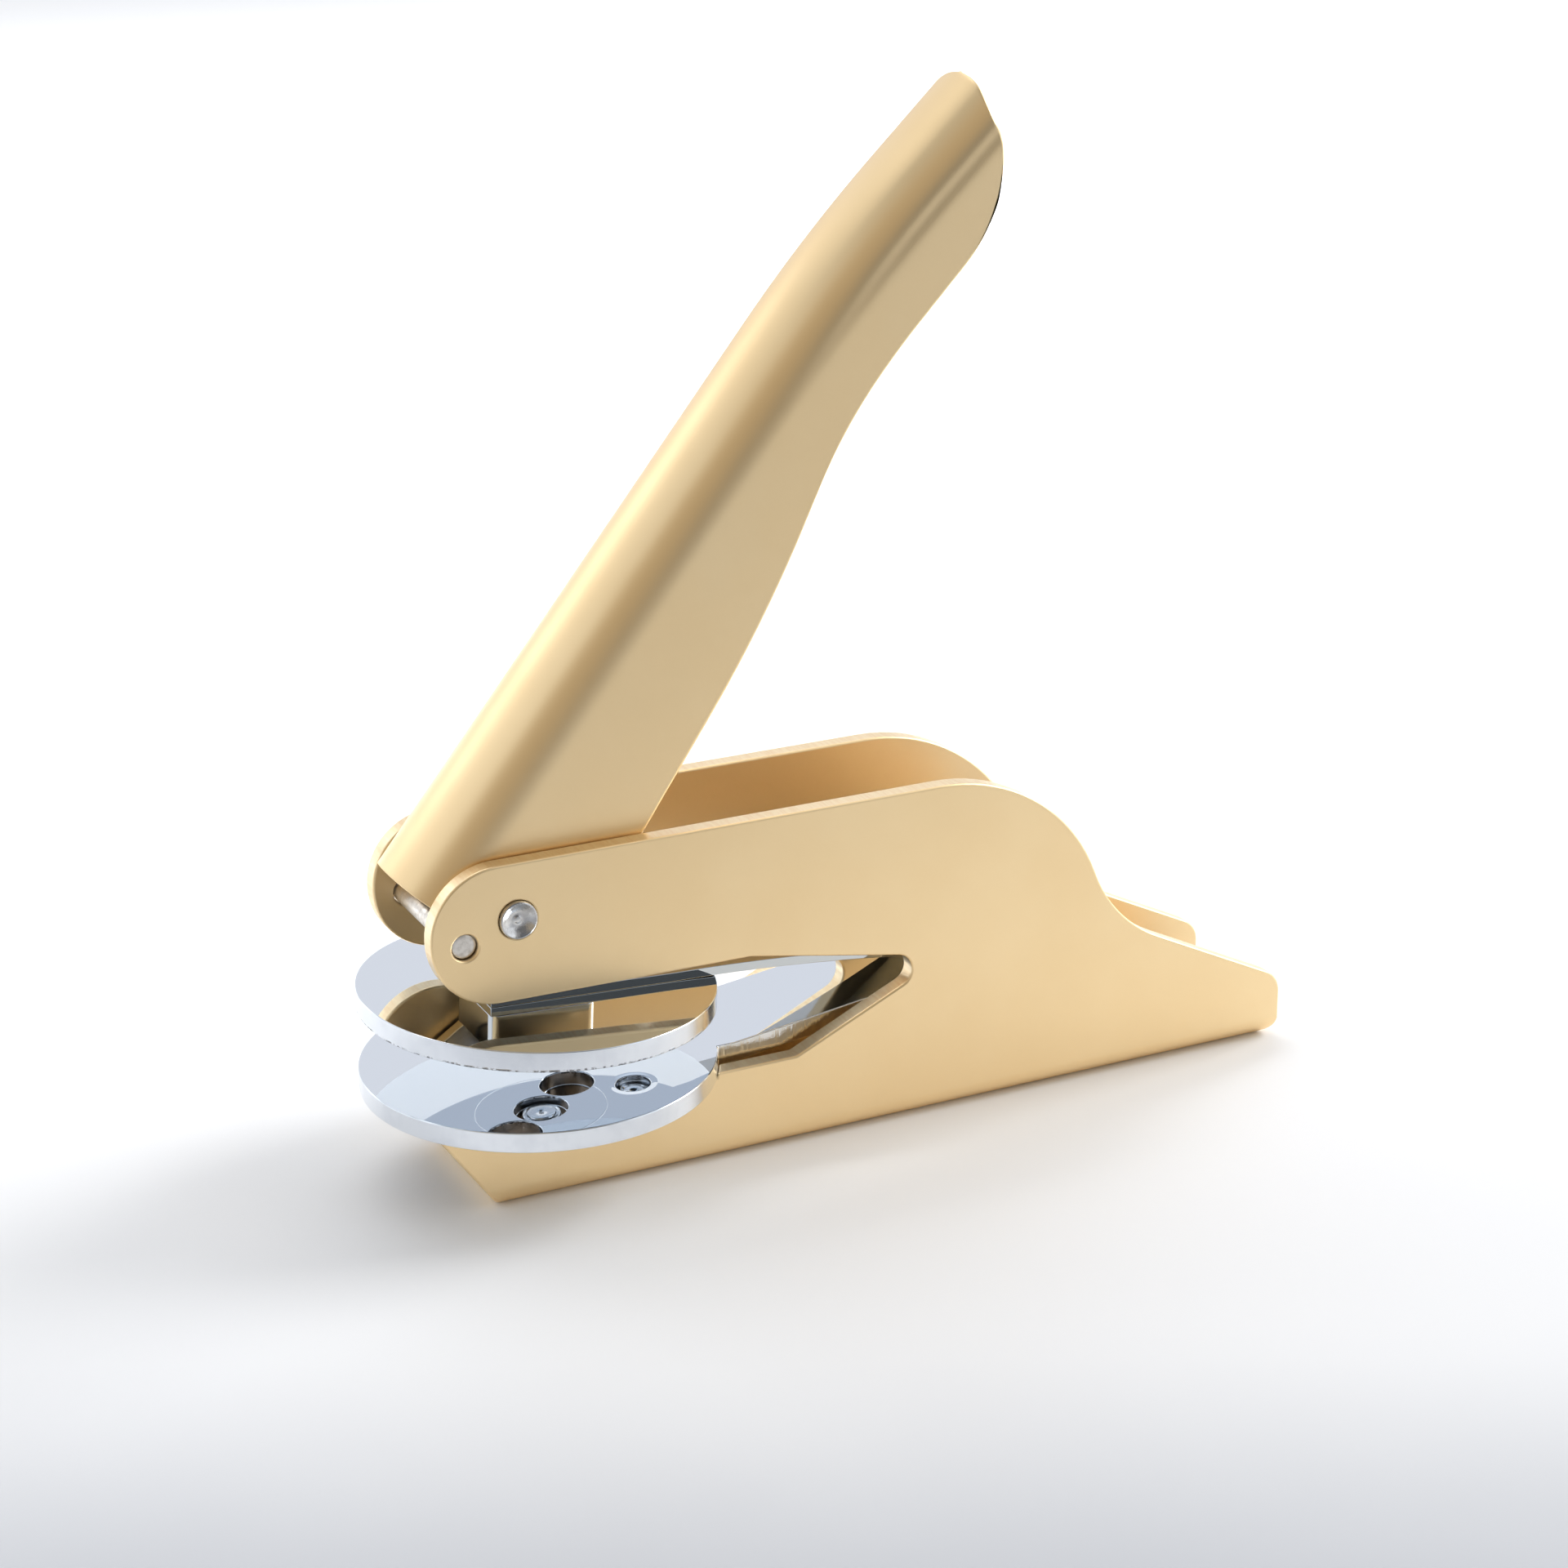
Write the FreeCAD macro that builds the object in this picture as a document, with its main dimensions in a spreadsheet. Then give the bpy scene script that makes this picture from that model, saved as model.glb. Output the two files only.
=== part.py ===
import FreeCAD, Part
import math
import os

import Sketcher
from FreeCAD import Placement, Rotation, Vector

# Seal embosser: a folded C frame, a channel lever with a cam, and a die head on a spring leaf.
# Inside this file X runs to the rear from the axis of the dies, Y to the left and Z up from the table.
# The finished pieces are shifted along X so that the origin is the middle of the footprint.
# Lengths are in millimetres and angles in degrees.

SIZES = {
    # folded frame: section
    "frame_width": 23.0,
    "sheet_thickness": 2.5,
    "inside_bend_radius": 0.5,
    # folded frame: side outline, from the foot round the mouth, the nose and the hump to the tail
    "foot_reach": 9.95,
    "lip_reach": 18.1,
    "seat_height": 11.55,
    "seat_step": 0.6,
    "throat_start": 30.5,
    "throat_angle": 24.1,
    "mouth_depth": 52.1,
    "mouth_end_radius": 2.2,
    "roof_angle": 10.5,
    "roof_knee": 24.3,
    "mouth_height": 27.5,
    "nose_reach": 17.45,
    "frame_height": 45.0,
    "hump_corner": 67.98,
    "hump_angle": 69.0,
    "hump_radius": 24.7,
    "shoulder_height": 21.83,
    "shoulder_radius": 19.6,
    "tail_angle": 26.2,
    "tail_reach": 103.6,
    "tail_top_radius": 3.6,
    "tail_foot_radius": 2.5,
    # pivot and stop, measured from the axis of the dies and from the table
    "pivot_ahead": 6.3,
    "pivot_height": 37.8,
    "pivot_rivet_radius": 2.4,
    "rivet_dome": 0.55,
    "stop_ahead_of_pivot": 6.8,
    "stop_pin_radius": 1.55,
    "stop_pin_recess": 0.6,
    "stop_hole_clearance": 0.12,
    "flush_recess": 0.1,
    # fits
    "running_clearance": 0.05,
    "fixed_clearance": 0.02,
    "side_clearance": 0.4,
    "contact_clearance": 0.2,
    # lever
    "lever_lean": 50.6,
    "lever_sheet": 2.0,
    "lever_corner_radius": 6.0,
    "crown_radius": 13.6,
    "crown_above_pivot": 12.36,
    "lever_front": 4.61,
    "cheek_below_pivot": 9.4,
    "cheek_front_radius": 5.0,
    "cheek_knee": 15.75,
    "grip_start": 46.0,
    "grip_start_below": 6.95,
    "grip_start_radius": 165.0,
    "waist": 70.3,
    "waist_below": 1.05,
    "waist_radius": 60.0,
    "grip_end": 82.1,
    "grip_end_radius": 100.0,
    "lever_reach": 114.45,
    "tip_corner": 104.06,
    "tip_corner_below": 2.98,
    "tip_radius": 18.0,
    "tip_drop": 3.5,
    "tip_bulge": 4.4,
    "crown_bend": 87.75,
    "crown_bend_radius": 200.0,
    "lever_travel": 42.0,
    # cam between the cheeks
    "cam_angle": 20.0,
    "cam_side_clearance": 0.1,
    "cam_pin_radius": 1.25,
    "cam_pin_distance": 8.6,
    # die plates
    "disc_radius": 22.5,
    "plate_thickness": 2.6,
    "closed_gap": 4.1,
    "open_tilt": 3.2,
    "neck_half_width": 8.0,
    "neck_bend": 23.5,
    "neck_angle": 7.1,
    "neck_pad_start": 58.6,
    "neck_end": 74.0,
    "centre_pin_radius": 2.475,
    "counterbore_radius": 3.45,
    "counterbore_depth": 1.3,
    "rivet_ahead_of_neck": 12.7,
    "disc_rivet_radius": 2.25,
    "disc_rivet_head_radius": 3.0,
    "disc_rivet_head": 1.0,
    "disc_rivet_recess": 0.9,
    "dimple_depth": 0.5,
    "die_hole_radius": 3.5,
    "die_hole_offset_x": 5.5,
    "die_hole_offset_y": 4.8,
    "die_hole_depth": 2.0,
    "pin_depth": 3.5,
    # spring leaf and what it carries
    "leaf_thickness": 1.2,
    "leaf_half_width": 6.2,
    "leaf_front": 8.5,
    "leaf_hinge": 59.2,
    "leaf_bow_radius": 280.0,
    "block_front": 8.4,
    "block_rear": 5.6,
    "block_half_width": 6.0,
    "block_height": 5.0,
    "block_corner_radius": 1.2,
    # jaw that holds the root of the leaf
    "jaw_thickness": 3.0,
    "jaw_half_width": 7.0,
    "jaw_notch_depth": 0.75,
    "jaw_rivet_inset": 4.8,
    "jaw_rivet_spacing": 6.0,
    "jaw_rivet_radius": 1.5,
    "jaw_rivet_head_radius": 2.6,
    "jaw_rivet_head": 1.0,
    # block that carries the lower plate, and its screws
    "support_front": 8.0,
    "support_rear": 18.0,
    "support_side_clearance": 0.1,
    "support_chamfer": 0.7,
    "screw_spacing": 16.0,
    "screw_radius": 1.5,
    "screw_head_radius": 2.8,
    "screw_depth": 4.5,
}


class Size:
    """A number together with the spreadsheet expression that gives it."""

    def __init__(self, value, text):
        self.value = value
        self.text = text

    def __add__(self, other):
        other = as_size(other)
        return Size(self.value + other.value, f"({self.text} + {other.text})")

    def __sub__(self, other):
        other = as_size(other)
        return Size(self.value - other.value, f"({self.text} - {other.text})")

    def __mul__(self, other):
        other = as_size(other)
        return Size(self.value * other.value, f"({self.text} * {other.text})")

    def __truediv__(self, other):
        other = as_size(other)
        return Size(self.value / other.value, f"({self.text} / {other.text})")

    def __neg__(self):
        return Size(-self.value, f"(0 - {self.text})")

    def __radd__(self, other):
        return as_size(other) + self

    def __rsub__(self, other):
        return as_size(other) - self

    def __rmul__(self, other):
        return as_size(other) * self


def as_size(number):
    """Give a plain number the same form as a size."""
    if isinstance(number, Size):
        return number
    return Size(float(number), repr(float(number)))


def sine(angle):
    return Size(math.sin(math.radians(angle.value)), f"sin({angle.text})")


def cosine(angle):
    return Size(math.cos(math.radians(angle.value)), f"cos({angle.text})")


def tangent(angle):
    return Size(math.tan(math.radians(angle.value)), f"tan({angle.text})")


def root(size):
    return Size(math.sqrt(size.value), f"sqrt({size.text})")


class SizeTable:
    """The driving dimensions, kept in a spreadsheet and read back as sizes."""

    def __init__(self, document, values):
        self.sheet = document.addObject("Spreadsheet::Sheet", "Sizes")
        for row, (name, value) in enumerate(values.items(), start=1):
            self.sheet.set(f"A{row}", str(value))
            self.sheet.setAlias(f"A{row}", name)
        document.recompute()

    def __getattr__(self, name):
        return Size(float(self.sheet.get(name)), f"Sizes.{name}")


class Corner:
    """A corner of an outline: rounded by a radius, or followed by a side that bows along an arc."""

    def __init__(self, across, up, radius=None, bow=None):
        self.across = as_size(across)
        self.up = as_size(up)
        self.radius = radius
        self.bow = bow


document = FreeCAD.newDocument("SealEmbosser")
size = SizeTable(document, SIZES)

# Places that several pieces share.
ORIGIN_SHIFT = (size.disc_radius - size.tail_reach) / 2
HALF_WIDTH = size.frame_width / 2
INNER_HALF_WIDTH = HALF_WIDTH - size.sheet_thickness
PIVOT_X = -size.pivot_ahead
STOP_X = PIVOT_X - size.stop_ahead_of_pivot
RIVET_X = size.rivet_ahead_of_neck
PLATE_TOP = size.seat_height + size.plate_thickness
NECK_RISE = (size.neck_pad_start - size.neck_bend) * tangent(size.neck_angle)
PAD_TOP = PLATE_TOP + NECK_RISE
HINGE_Z = PAD_TOP + size.leaf_thickness / 2 + size.running_clearance
LEVER_HALF_WIDTH = INNER_HALF_WIDTH - size.side_clearance
CHANNEL_HALF_WIDTH = LEVER_HALF_WIDTH - size.lever_sheet

# The pin that stops the lever lies against the front edges of its cheeks: the edge is a line
# square to the crown, at lever_front from the pivot, and the pin's centre is one radius below it.
STOP_ALONG = size.lever_front + size.stop_pin_radius + size.fixed_clearance
STOP_Z = size.pivot_height - (
    (STOP_ALONG - size.stop_ahead_of_pivot * cosine(size.lever_lean)) / sine(size.lever_lean)
)

# The die head turns about the root of the leaf. CLOSED_Z is the underside of the upper disc when
# the head is down and level; HEAD_X and HEAD_Z are that point with the head up.
CLOSED_Z = PLATE_TOP + size.closed_gap
HINGE_RISE = HINGE_Z - CLOSED_Z
HEAD_X = size.leaf_hinge * (1 - cosine(size.open_tilt)) - HINGE_RISE * sine(size.open_tilt)
HEAD_Z = HINGE_Z + size.leaf_hinge * sine(size.open_tilt) - HINGE_RISE * cosine(size.open_tilt)
LEAF_TOP = size.plate_thickness + size.leaf_thickness
BLOCK_TOP = LEAF_TOP + size.block_height

# The cam is a disc held off centre on the pivot: its lift is the fall of the pressure block.
CAM_DOWN = size.lever_travel - size.cam_angle
CAM_OFFSET = (size.leaf_hinge - PIVOT_X) * sine(size.open_tilt) / (
    sine(size.cam_angle) + sine(CAM_DOWN) + cosine(size.cam_angle) * sine(size.open_tilt)
)
CAM_RADIUS = (
    size.pivot_height - CAM_OFFSET * sine(CAM_DOWN) - (CLOSED_Z + BLOCK_TOP) - size.contact_clearance
)
CAM_TILT = size.lever_lean - size.cam_angle


def new_body(label):
    """A body for one piece of the object."""
    body = document.addObject("PartDesign::Body", label)
    body.Label = label
    return body


def place(body, across, up, turn=None):
    """Put a body in the side view, turned about Y where an angle is given."""
    if turn is not None:
        body.Placement.Rotation = Rotation(Vector(0, 1, 0), turn.value)
        body.setExpression("Placement.Rotation.Angle", turn.text)
    body.setExpression("Placement.Base.x", (ORIGIN_SHIFT + across).text)
    body.setExpression("Placement.Base.z", as_size(up).text)


def lay_across(body, across, up):
    """Put a turned piece with its axis along Y."""
    body.Placement = Placement(Vector(0, 0, 0), Rotation(Vector(1, 0, 0), -90))
    body.setExpression("Placement.Base.x", (ORIGIN_SHIFT + across).text)
    body.setExpression("Placement.Base.z", as_size(up).text)


def on_head(body, along):
    """Stand a turned piece on the die head, with its foot on the underside of the upper disc."""
    place(body, HEAD_X + along * cosine(size.open_tilt), HEAD_Z - along * sine(size.open_tilt), size.open_tilt)


def new_sketch(body, name, plane):
    """A sketch on one of the body's own origin planes."""
    sketch = body.newObject("Sketcher::SketchObject", name)
    support = next(feature for feature in body.Origin.OriginFeatures if feature.Role == plane)
    sketch.AttachmentSupport = [(support, "")]
    sketch.MapMode = "FlatFace"
    return sketch


def bind(sketch, kind, geometry, point, amount, name):
    """Add a named dimension that follows the spreadsheet."""
    if kind == "Radius":
        constraint = Sketcher.Constraint(kind, geometry, amount.value)
    else:
        constraint = Sketcher.Constraint(kind, -1, 1, geometry, point, amount.value)
    index = sketch.addConstraint(constraint)
    sketch.renameConstraint(index, name)
    sketch.setExpression(f"Constraints.{name}", amount.text)


def fix_point(sketch, geometry, point, across, up):
    """Dimension a point from the sketch's origin."""
    bind(sketch, "DistanceX", geometry, point, across, f"across_{geometry}_{point}")
    bind(sketch, "DistanceY", geometry, point, up, f"up_{geometry}_{point}")


def add_arc(sketch, first, middle, last):
    """An arc through three points; returns its number and which of its ends come first and last."""
    turns_left = (middle - first).cross(last - middle).z > 0
    if turns_left:
        return sketch.addGeometry(Part.ArcOfCircle(first, middle, last)), 1, 2
    return sketch.addGeometry(Part.ArcOfCircle(last, middle, first)), 2, 1


def add_side(sketch, first, last, bow):
    """A straight side, or one that bows to the left (plus) or right (minus) along an arc."""
    if bow is None:
        return sketch.addGeometry(Part.LineSegment(first, last)), 1, 2
    chord = last - first
    across = Vector(-chord.y, chord.x, 0).normalize()
    reach = math.sqrt(bow.value ** 2 - (chord.Length / 2) ** 2)
    sag = (abs(bow.value) - reach) * math.copysign(1, bow.value)
    side = add_arc(sketch, first, (first + last) / 2 - across * sag, last)
    bind(sketch, "Radius", side[0], 0, Size(abs(bow.value), f"abs({bow.text})"), f"bow_{side[0]}")
    return side


def add_outline(sketch, corners):
    """Draw a closed outline and dimension every corner and radius in it."""
    points = [Vector(corner.across.value, corner.up.value, 0) for corner in corners]
    entries, exits, middles = [], [], []
    for index, corner in enumerate(corners):
        here = points[index]
        if corner.radius is None:
            entries.append(here)
            exits.append(here)
            middles.append(None)
            continue
        before = (points[index - 1] - here).normalize()
        after = (points[(index + 1) % len(points)] - here).normalize()
        half_angle = before.getAngle(after) / 2
        setback = corner.radius.value / math.tan(half_angle)
        to_centre = corner.radius.value / math.sin(half_angle)
        inward = (before + after).normalize()
        entries.append(here + before * setback)
        exits.append(here + after * setback)
        middles.append(here + inward * (to_centre - corner.radius.value))

    sides = []
    for index, corner in enumerate(corners):
        following = (index + 1) % len(corners)
        sides.append(add_side(sketch, exits[index], entries[following], corner.bow))

    for index, corner in enumerate(corners):
        coming, _, coming_end = sides[index - 1]
        leaving, leaving_start, _ = sides[index]
        if corner.radius is None:
            sketch.addConstraint(
                Sketcher.Constraint("Coincident", coming, coming_end, leaving, leaving_start)
            )
            fix_point(sketch, leaving, leaving_start, corner.across, corner.up)
            continue
        arc, arc_start, arc_end = add_arc(sketch, entries[index], middles[index], exits[index])
        tip = sketch.addGeometry(Part.Point(points[index]), True)
        sketch.addConstraint(Sketcher.Constraint("Tangent", coming, coming_end, arc, arc_start))
        sketch.addConstraint(Sketcher.Constraint("Tangent", arc, arc_end, leaving, leaving_start))
        sketch.addConstraint(Sketcher.Constraint("PointOnObject", tip, 1, coming))
        sketch.addConstraint(Sketcher.Constraint("PointOnObject", tip, 1, leaving))
        bind(sketch, "Radius", arc, 0, corner.radius, f"radius_{arc}")
        fix_point(sketch, tip, 1, corner.across, corner.up)


def add_circle(sketch, across, up, radius):
    """Draw a circle and dimension its centre and radius."""
    across, up, radius = as_size(across), as_size(up), as_size(radius)
    circle = sketch.addGeometry(
        Part.Circle(Vector(across.value, up.value, 0), Vector(0, 0, 1), radius.value)
    )
    bind(sketch, "Radius", circle, 0, radius, f"radius_{circle}")
    fix_point(sketch, circle, 3, across, up)


def add_rectangle(sketch, low_across, low_up, high_across, high_up, radius=None):
    """Draw a rectangle, with rounded corners where a radius is given."""
    add_outline(sketch, [
        Corner(low_across, low_up, radius),
        Corner(high_across, low_up, radius),
        Corner(high_across, high_up, radius),
        Corner(low_across, high_up, radius),
    ])


def pad(body, sketch, length, one_side=False):
    """Thicken a sketch, evenly to both sides of its plane unless told otherwise."""
    feature = body.newObject("PartDesign::Pad", f"{sketch.Name}_pad")
    feature.Profile = sketch
    feature.SideType = "One side" if one_side else "Symmetric"
    feature.setExpression("Length", as_size(length).text)
    document.recompute()
    return feature


def cut(body, sketch, length):
    """Cut a sketch out of a body, evenly to both sides of its plane, and make sure that it bites."""
    before = body.Shape.Volume
    feature = body.newObject("PartDesign::Pocket", f"{sketch.Name}_cut")
    feature.Profile = sketch
    feature.SideType = "Symmetric"
    feature.setExpression("Length", as_size(length).text)
    document.recompute()
    if not feature.Shape.Volume < before - 1e-6:
        raise RuntimeError(f"{feature.Name} removes nothing from {body.Label}")
    return feature


def turn(body, name, corners):
    """Turn an outline of radius and height about the body's own Z axis."""
    sketch = new_sketch(body, name, "XZ_Plane")
    add_outline(sketch, corners)
    feature = body.newObject("PartDesign::Revolution", f"{name}_turned")
    feature.Profile = sketch
    feature.ReferenceAxis = (sketch, ["V_Axis"])
    feature.Angle = 360
    document.recompute()
    return feature


def edges_where(feature, test):
    """Names of the edges whose middle point passes the test."""
    names = []
    for number, edge in enumerate(feature.Shape.Edges, start=1):
        middle = edge.valueAt((edge.FirstParameter + edge.LastParameter) / 2)
        if test(middle):
            names.append(f"Edge{number}")
    return names


def near(value, wanted, within=0.01):
    return abs(value - wanted) < within


def make_frame():
    """Sheet folded into a channel, with both walls cut to the C outline."""
    body = new_body("frame")
    stock = 3 * size.tail_reach
    above = 2 * size.frame_height
    bend = size.inside_bend_radius + size.sheet_thickness
    section = new_sketch(body, "frame_section", "YZ_Plane")
    add_outline(section, [
        Corner(-HALF_WIDTH, above),
        Corner(-HALF_WIDTH, 0, bend),
        Corner(HALF_WIDTH, 0, bend),
        Corner(HALF_WIDTH, above),
        Corner(INNER_HALF_WIDTH, above),
        Corner(INNER_HALF_WIDTH, size.sheet_thickness, size.inside_bend_radius),
        Corner(-INNER_HALF_WIDTH, size.sheet_thickness, size.inside_bend_radius),
        Corner(-INNER_HALF_WIDTH, above),
    ])
    pad(body, section, stock)

    # The seat ends where the round plate leaves the outer faces of the walls.
    seat_end = root(size.disc_radius * size.disc_radius - HALF_WIDTH * HALF_WIDTH)
    throat = size.seat_height + size.seat_step
    mouth_end = throat + (size.mouth_depth - size.throat_start) * tangent(size.throat_angle)
    knee = mouth_end + (size.mouth_depth - size.roof_knee) * tangent(size.roof_angle)
    nose_radius = 0.497 * (size.frame_height - size.mouth_height)
    shoulder = size.hump_corner + (size.frame_height - size.shoulder_height) / tangent(size.hump_angle)
    tail_top = size.shoulder_height - (size.tail_reach - shoulder) * tangent(size.tail_angle)
    side = new_sketch(body, "frame_side", "XZ_Plane")
    add_rectangle(side, -stock, -above, stock, 2 * above)
    add_outline(side, [
        Corner(-size.foot_reach, 0),
        Corner(-size.lip_reach, size.seat_height),
        Corner(seat_end, size.seat_height),
        Corner(seat_end, throat),
        Corner(size.throat_start, throat),
        Corner(size.mouth_depth, mouth_end, size.mouth_end_radius),
        Corner(size.roof_knee, knee),
        Corner(-size.nose_reach, size.mouth_height, nose_radius),
        Corner(-size.nose_reach, size.frame_height, nose_radius),
        Corner(size.hump_corner, size.frame_height, size.hump_radius),
        Corner(shoulder, size.shoulder_height, size.shoulder_radius),
        Corner(size.tail_reach, tail_top, size.tail_top_radius),
        Corner(size.tail_reach, 0, size.tail_foot_radius),
    ])
    cut(body, side, 2 * size.frame_width)

    # Behind the seat the walls stand a little higher, and are relieved round the plate.
    relief = new_sketch(body, "seat_relief", "XY_Plane")
    relief.setExpression("AttachmentOffset.Base.z", (size.seat_height + size.seat_step).text)
    add_circle(relief, 0, 0, size.disc_radius + size.running_clearance)
    cut(body, relief, 2 * size.seat_step)

    holes = new_sketch(body, "frame_holes", "XZ_Plane")
    add_circle(holes, PIVOT_X, size.pivot_height, size.pivot_rivet_radius + size.fixed_clearance)
    add_circle(holes, STOP_X, STOP_Z, size.stop_pin_radius + size.stop_hole_clearance)
    cut(body, holes, 2 * size.frame_width)

    screws = new_sketch(body, "screw_holes", "XY_Plane")
    hole_radius = size.screw_radius + size.running_clearance
    for along in screw_places():
        add_circle(screws, along, 0, hole_radius)
    drilled = cut(body, screws, 4 * size.sheet_thickness)
    sinks = body.newObject("PartDesign::Chamfer", "screw_sinks")
    sinks.Base = (drilled, edges_where(
        drilled,
        lambda middle: near(middle.z, 0) and abs(middle.y) < hole_radius.value + 0.01
        and abs(middle.x) < size.foot_reach.value + size.support_rear.value
        and any(near(math.hypot(middle.x - place_x.value, middle.y), hole_radius.value)
                for place_x in screw_places()),
    ))
    sinks.setExpression("Size", (size.screw_head_radius - size.screw_radius).text)
    place(body, as_size(0), 0)


def screw_places():
    """Where the two screws through the floor stand, along the support block."""
    middle = (size.support_rear - size.support_front) / 2
    return [middle - size.screw_spacing / 2, middle + size.screw_spacing / 2]


def channel_line(half, crown, arc, corner):
    """Half of the lever's section: the foot of a cheek, its top, and the corner's end on the crown."""
    lean = (half - corner) / (arc - corner)
    level = root(1 - lean * lean)
    return [
        (half, -3 * size.cheek_below_pivot),
        (half, crown - arc + (arc - corner) * level),
        (arc * lean, crown - arc + arc * level),
    ]


def make_handle():
    """Channel lever: cambered crown, two cheeks, open to the rear; its own origin is the pivot."""
    body = new_body("handle")
    crown = size.crown_above_pivot
    ahead = 2 * size.lever_front
    beyond = 1.2 * size.lever_reach
    slope = size.tip_drop / (size.lever_reach - size.crown_bend)

    # The channel's section runs along the crown, which bends down towards the tip.
    arc, corner = size.crown_radius, size.lever_corner_radius
    foot, top, end = channel_line(LEVER_HALF_WIDTH, crown, arc, corner)
    sheet = size.lever_sheet
    inner_foot, inner_top, inner_end = channel_line(
        CHANNEL_HALF_WIDTH, crown - sheet, arc - sheet, corner - sheet
    )
    section = new_sketch(body, "lever_section", "YZ_Plane")
    section.setExpression("AttachmentOffset.Base.z", (-ahead).text)
    add_outline(section, [
        Corner(-foot[0], foot[1]),
        Corner(-top[0], top[1], bow=-corner),
        Corner(-end[0], end[1], bow=-arc),
        Corner(end[0], end[1], bow=-corner),
        Corner(*top),
        Corner(*foot),
        Corner(*inner_foot),
        Corner(*inner_top, bow=corner - sheet),
        Corner(*inner_end, bow=arc - sheet),
        Corner(-inner_end[0], inner_end[1], bow=corner - sheet),
        Corner(-inner_top[0], inner_top[1]),
        Corner(-inner_foot[0], inner_foot[1]),
    ])
    path = new_sketch(body, "crown_line", "XZ_Plane")
    add_outline(path, [
        Corner(-ahead, crown),
        Corner(size.crown_bend, crown, size.crown_bend_radius),
        Corner(beyond, crown - (beyond - size.crown_bend) * slope),
        Corner(beyond, -crown),
        Corner(-ahead, -crown),
    ])
    document.recompute()
    channel = body.newObject("PartDesign::AdditivePipe", "lever_channel")
    channel.Profile = section
    channel.Spine = (path, edges_where(
        path,
        lambda middle: middle.z > 0.5 * crown.value and middle.x < beyond.value - 0.01,
    ))
    document.recompute()

    # Both cheeks are cut to one outline, from the front round the grip to the tip.
    side = new_sketch(body, "lever_side", "XZ_Plane")
    add_rectangle(side, -2 * beyond, -2 * beyond, 2 * beyond, 2 * beyond)
    add_outline(side, [
        Corner(-size.lever_front, 2 * crown),
        Corner(-size.lever_front, -size.cheek_below_pivot, size.cheek_front_radius),
        Corner(size.cheek_knee, -size.cheek_below_pivot),
        Corner(size.grip_start, -size.grip_start_below, size.grip_start_radius),
        Corner(size.waist, -size.waist_below, size.waist_radius),
        Corner(size.grip_end, -size.waist_below, size.grip_end_radius),
        Corner(size.tip_corner, -size.tip_corner_below, size.tip_radius),
        Corner(
            2 * size.lever_reach - size.tip_corner,
            2 * (crown - size.tip_drop) + size.tip_corner_below,
        ),
    ])
    cut(body, side, 4 * LEVER_HALF_WIDTH)

    holes = new_sketch(body, "lever_holes", "XZ_Plane")
    add_circle(holes, 0, 0, size.pivot_rivet_radius + size.running_clearance)
    add_circle(holes, *cam_pin_place(), size.cam_pin_radius + size.fixed_clearance)
    cut(body, holes, 4 * LEVER_HALF_WIDTH)

    # Seen from above the crown the tip ends in an arc, which stands out ahead of the cheeks.
    bulge = size.tip_bulge
    end_radius = (LEVER_HALF_WIDTH * LEVER_HALF_WIDTH + bulge * bulge) / (2 * bulge)
    aside = (LEVER_HALF_WIDTH + end_radius) / 2
    shoulder = size.lever_reach - end_radius + root(end_radius * end_radius - aside * aside)
    tip = new_sketch(body, "lever_tip", "XY_Plane")
    add_outline(tip, [
        Corner(beyond, -aside),
        Corner(beyond, aside),
        Corner(shoulder, aside, bow=-end_radius),
        Corner(shoulder, -aside),
    ])
    cut(body, tip, 12 * size.cheek_below_pivot)
    place(body, PIVOT_X, size.pivot_height, -size.lever_lean)


def cam_pin_place():
    """Where the cam pin crosses the lever, in the lever's own frame."""
    return (
        size.cam_pin_distance * cosine(CAM_TILT),
        -size.cam_pin_distance * sine(CAM_TILT),
    )


def make_handle_cam():
    """Disc held off centre on the pivot, which presses the die head down as the lever turns."""
    body = new_body("handle_cam")
    sketch = new_sketch(body, "cam_side", "XZ_Plane")
    add_circle(sketch, CAM_OFFSET * cosine(CAM_TILT), -CAM_OFFSET * sine(CAM_TILT), CAM_RADIUS)
    add_circle(sketch, 0, 0, size.pivot_rivet_radius + size.running_clearance)
    add_circle(sketch, *cam_pin_place(), size.cam_pin_radius + size.fixed_clearance)
    pad(body, sketch, 2 * (CHANNEL_HALF_WIDTH - size.cam_side_clearance))
    place(body, PIVOT_X, size.pivot_height, -size.lever_lean)


def make_cam_pin():
    """Cross pin that ties the cam to both cheeks, ending just inside their outer faces."""
    body = new_body("cam_pin")
    sketch = new_sketch(body, "cam_pin_section", "XZ_Plane")
    add_circle(sketch, *cam_pin_place(), size.cam_pin_radius)
    pad(body, sketch, 2 * (LEVER_HALF_WIDTH - size.running_clearance))
    place(body, PIVOT_X, size.pivot_height, -size.lever_lean)


def make_pivot_rivet():
    """Rivet through both walls, with a low dome and a centre dimple at each end."""
    body = new_body("pivot_rivet")
    radius = size.pivot_rivet_radius
    end = HALF_WIDTH + size.rivet_dome
    flat = radius * 0.45
    turn(body, "pivot_rivet_outline", [
        Corner(0, -(end - size.dimple_depth)),
        Corner(flat, -end),
        Corner(radius, -HALF_WIDTH),
        Corner(radius, HALF_WIDTH),
        Corner(flat, end),
        Corner(0, end - size.dimple_depth),
    ])
    lay_across(body, PIVOT_X, size.pivot_height)


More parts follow.
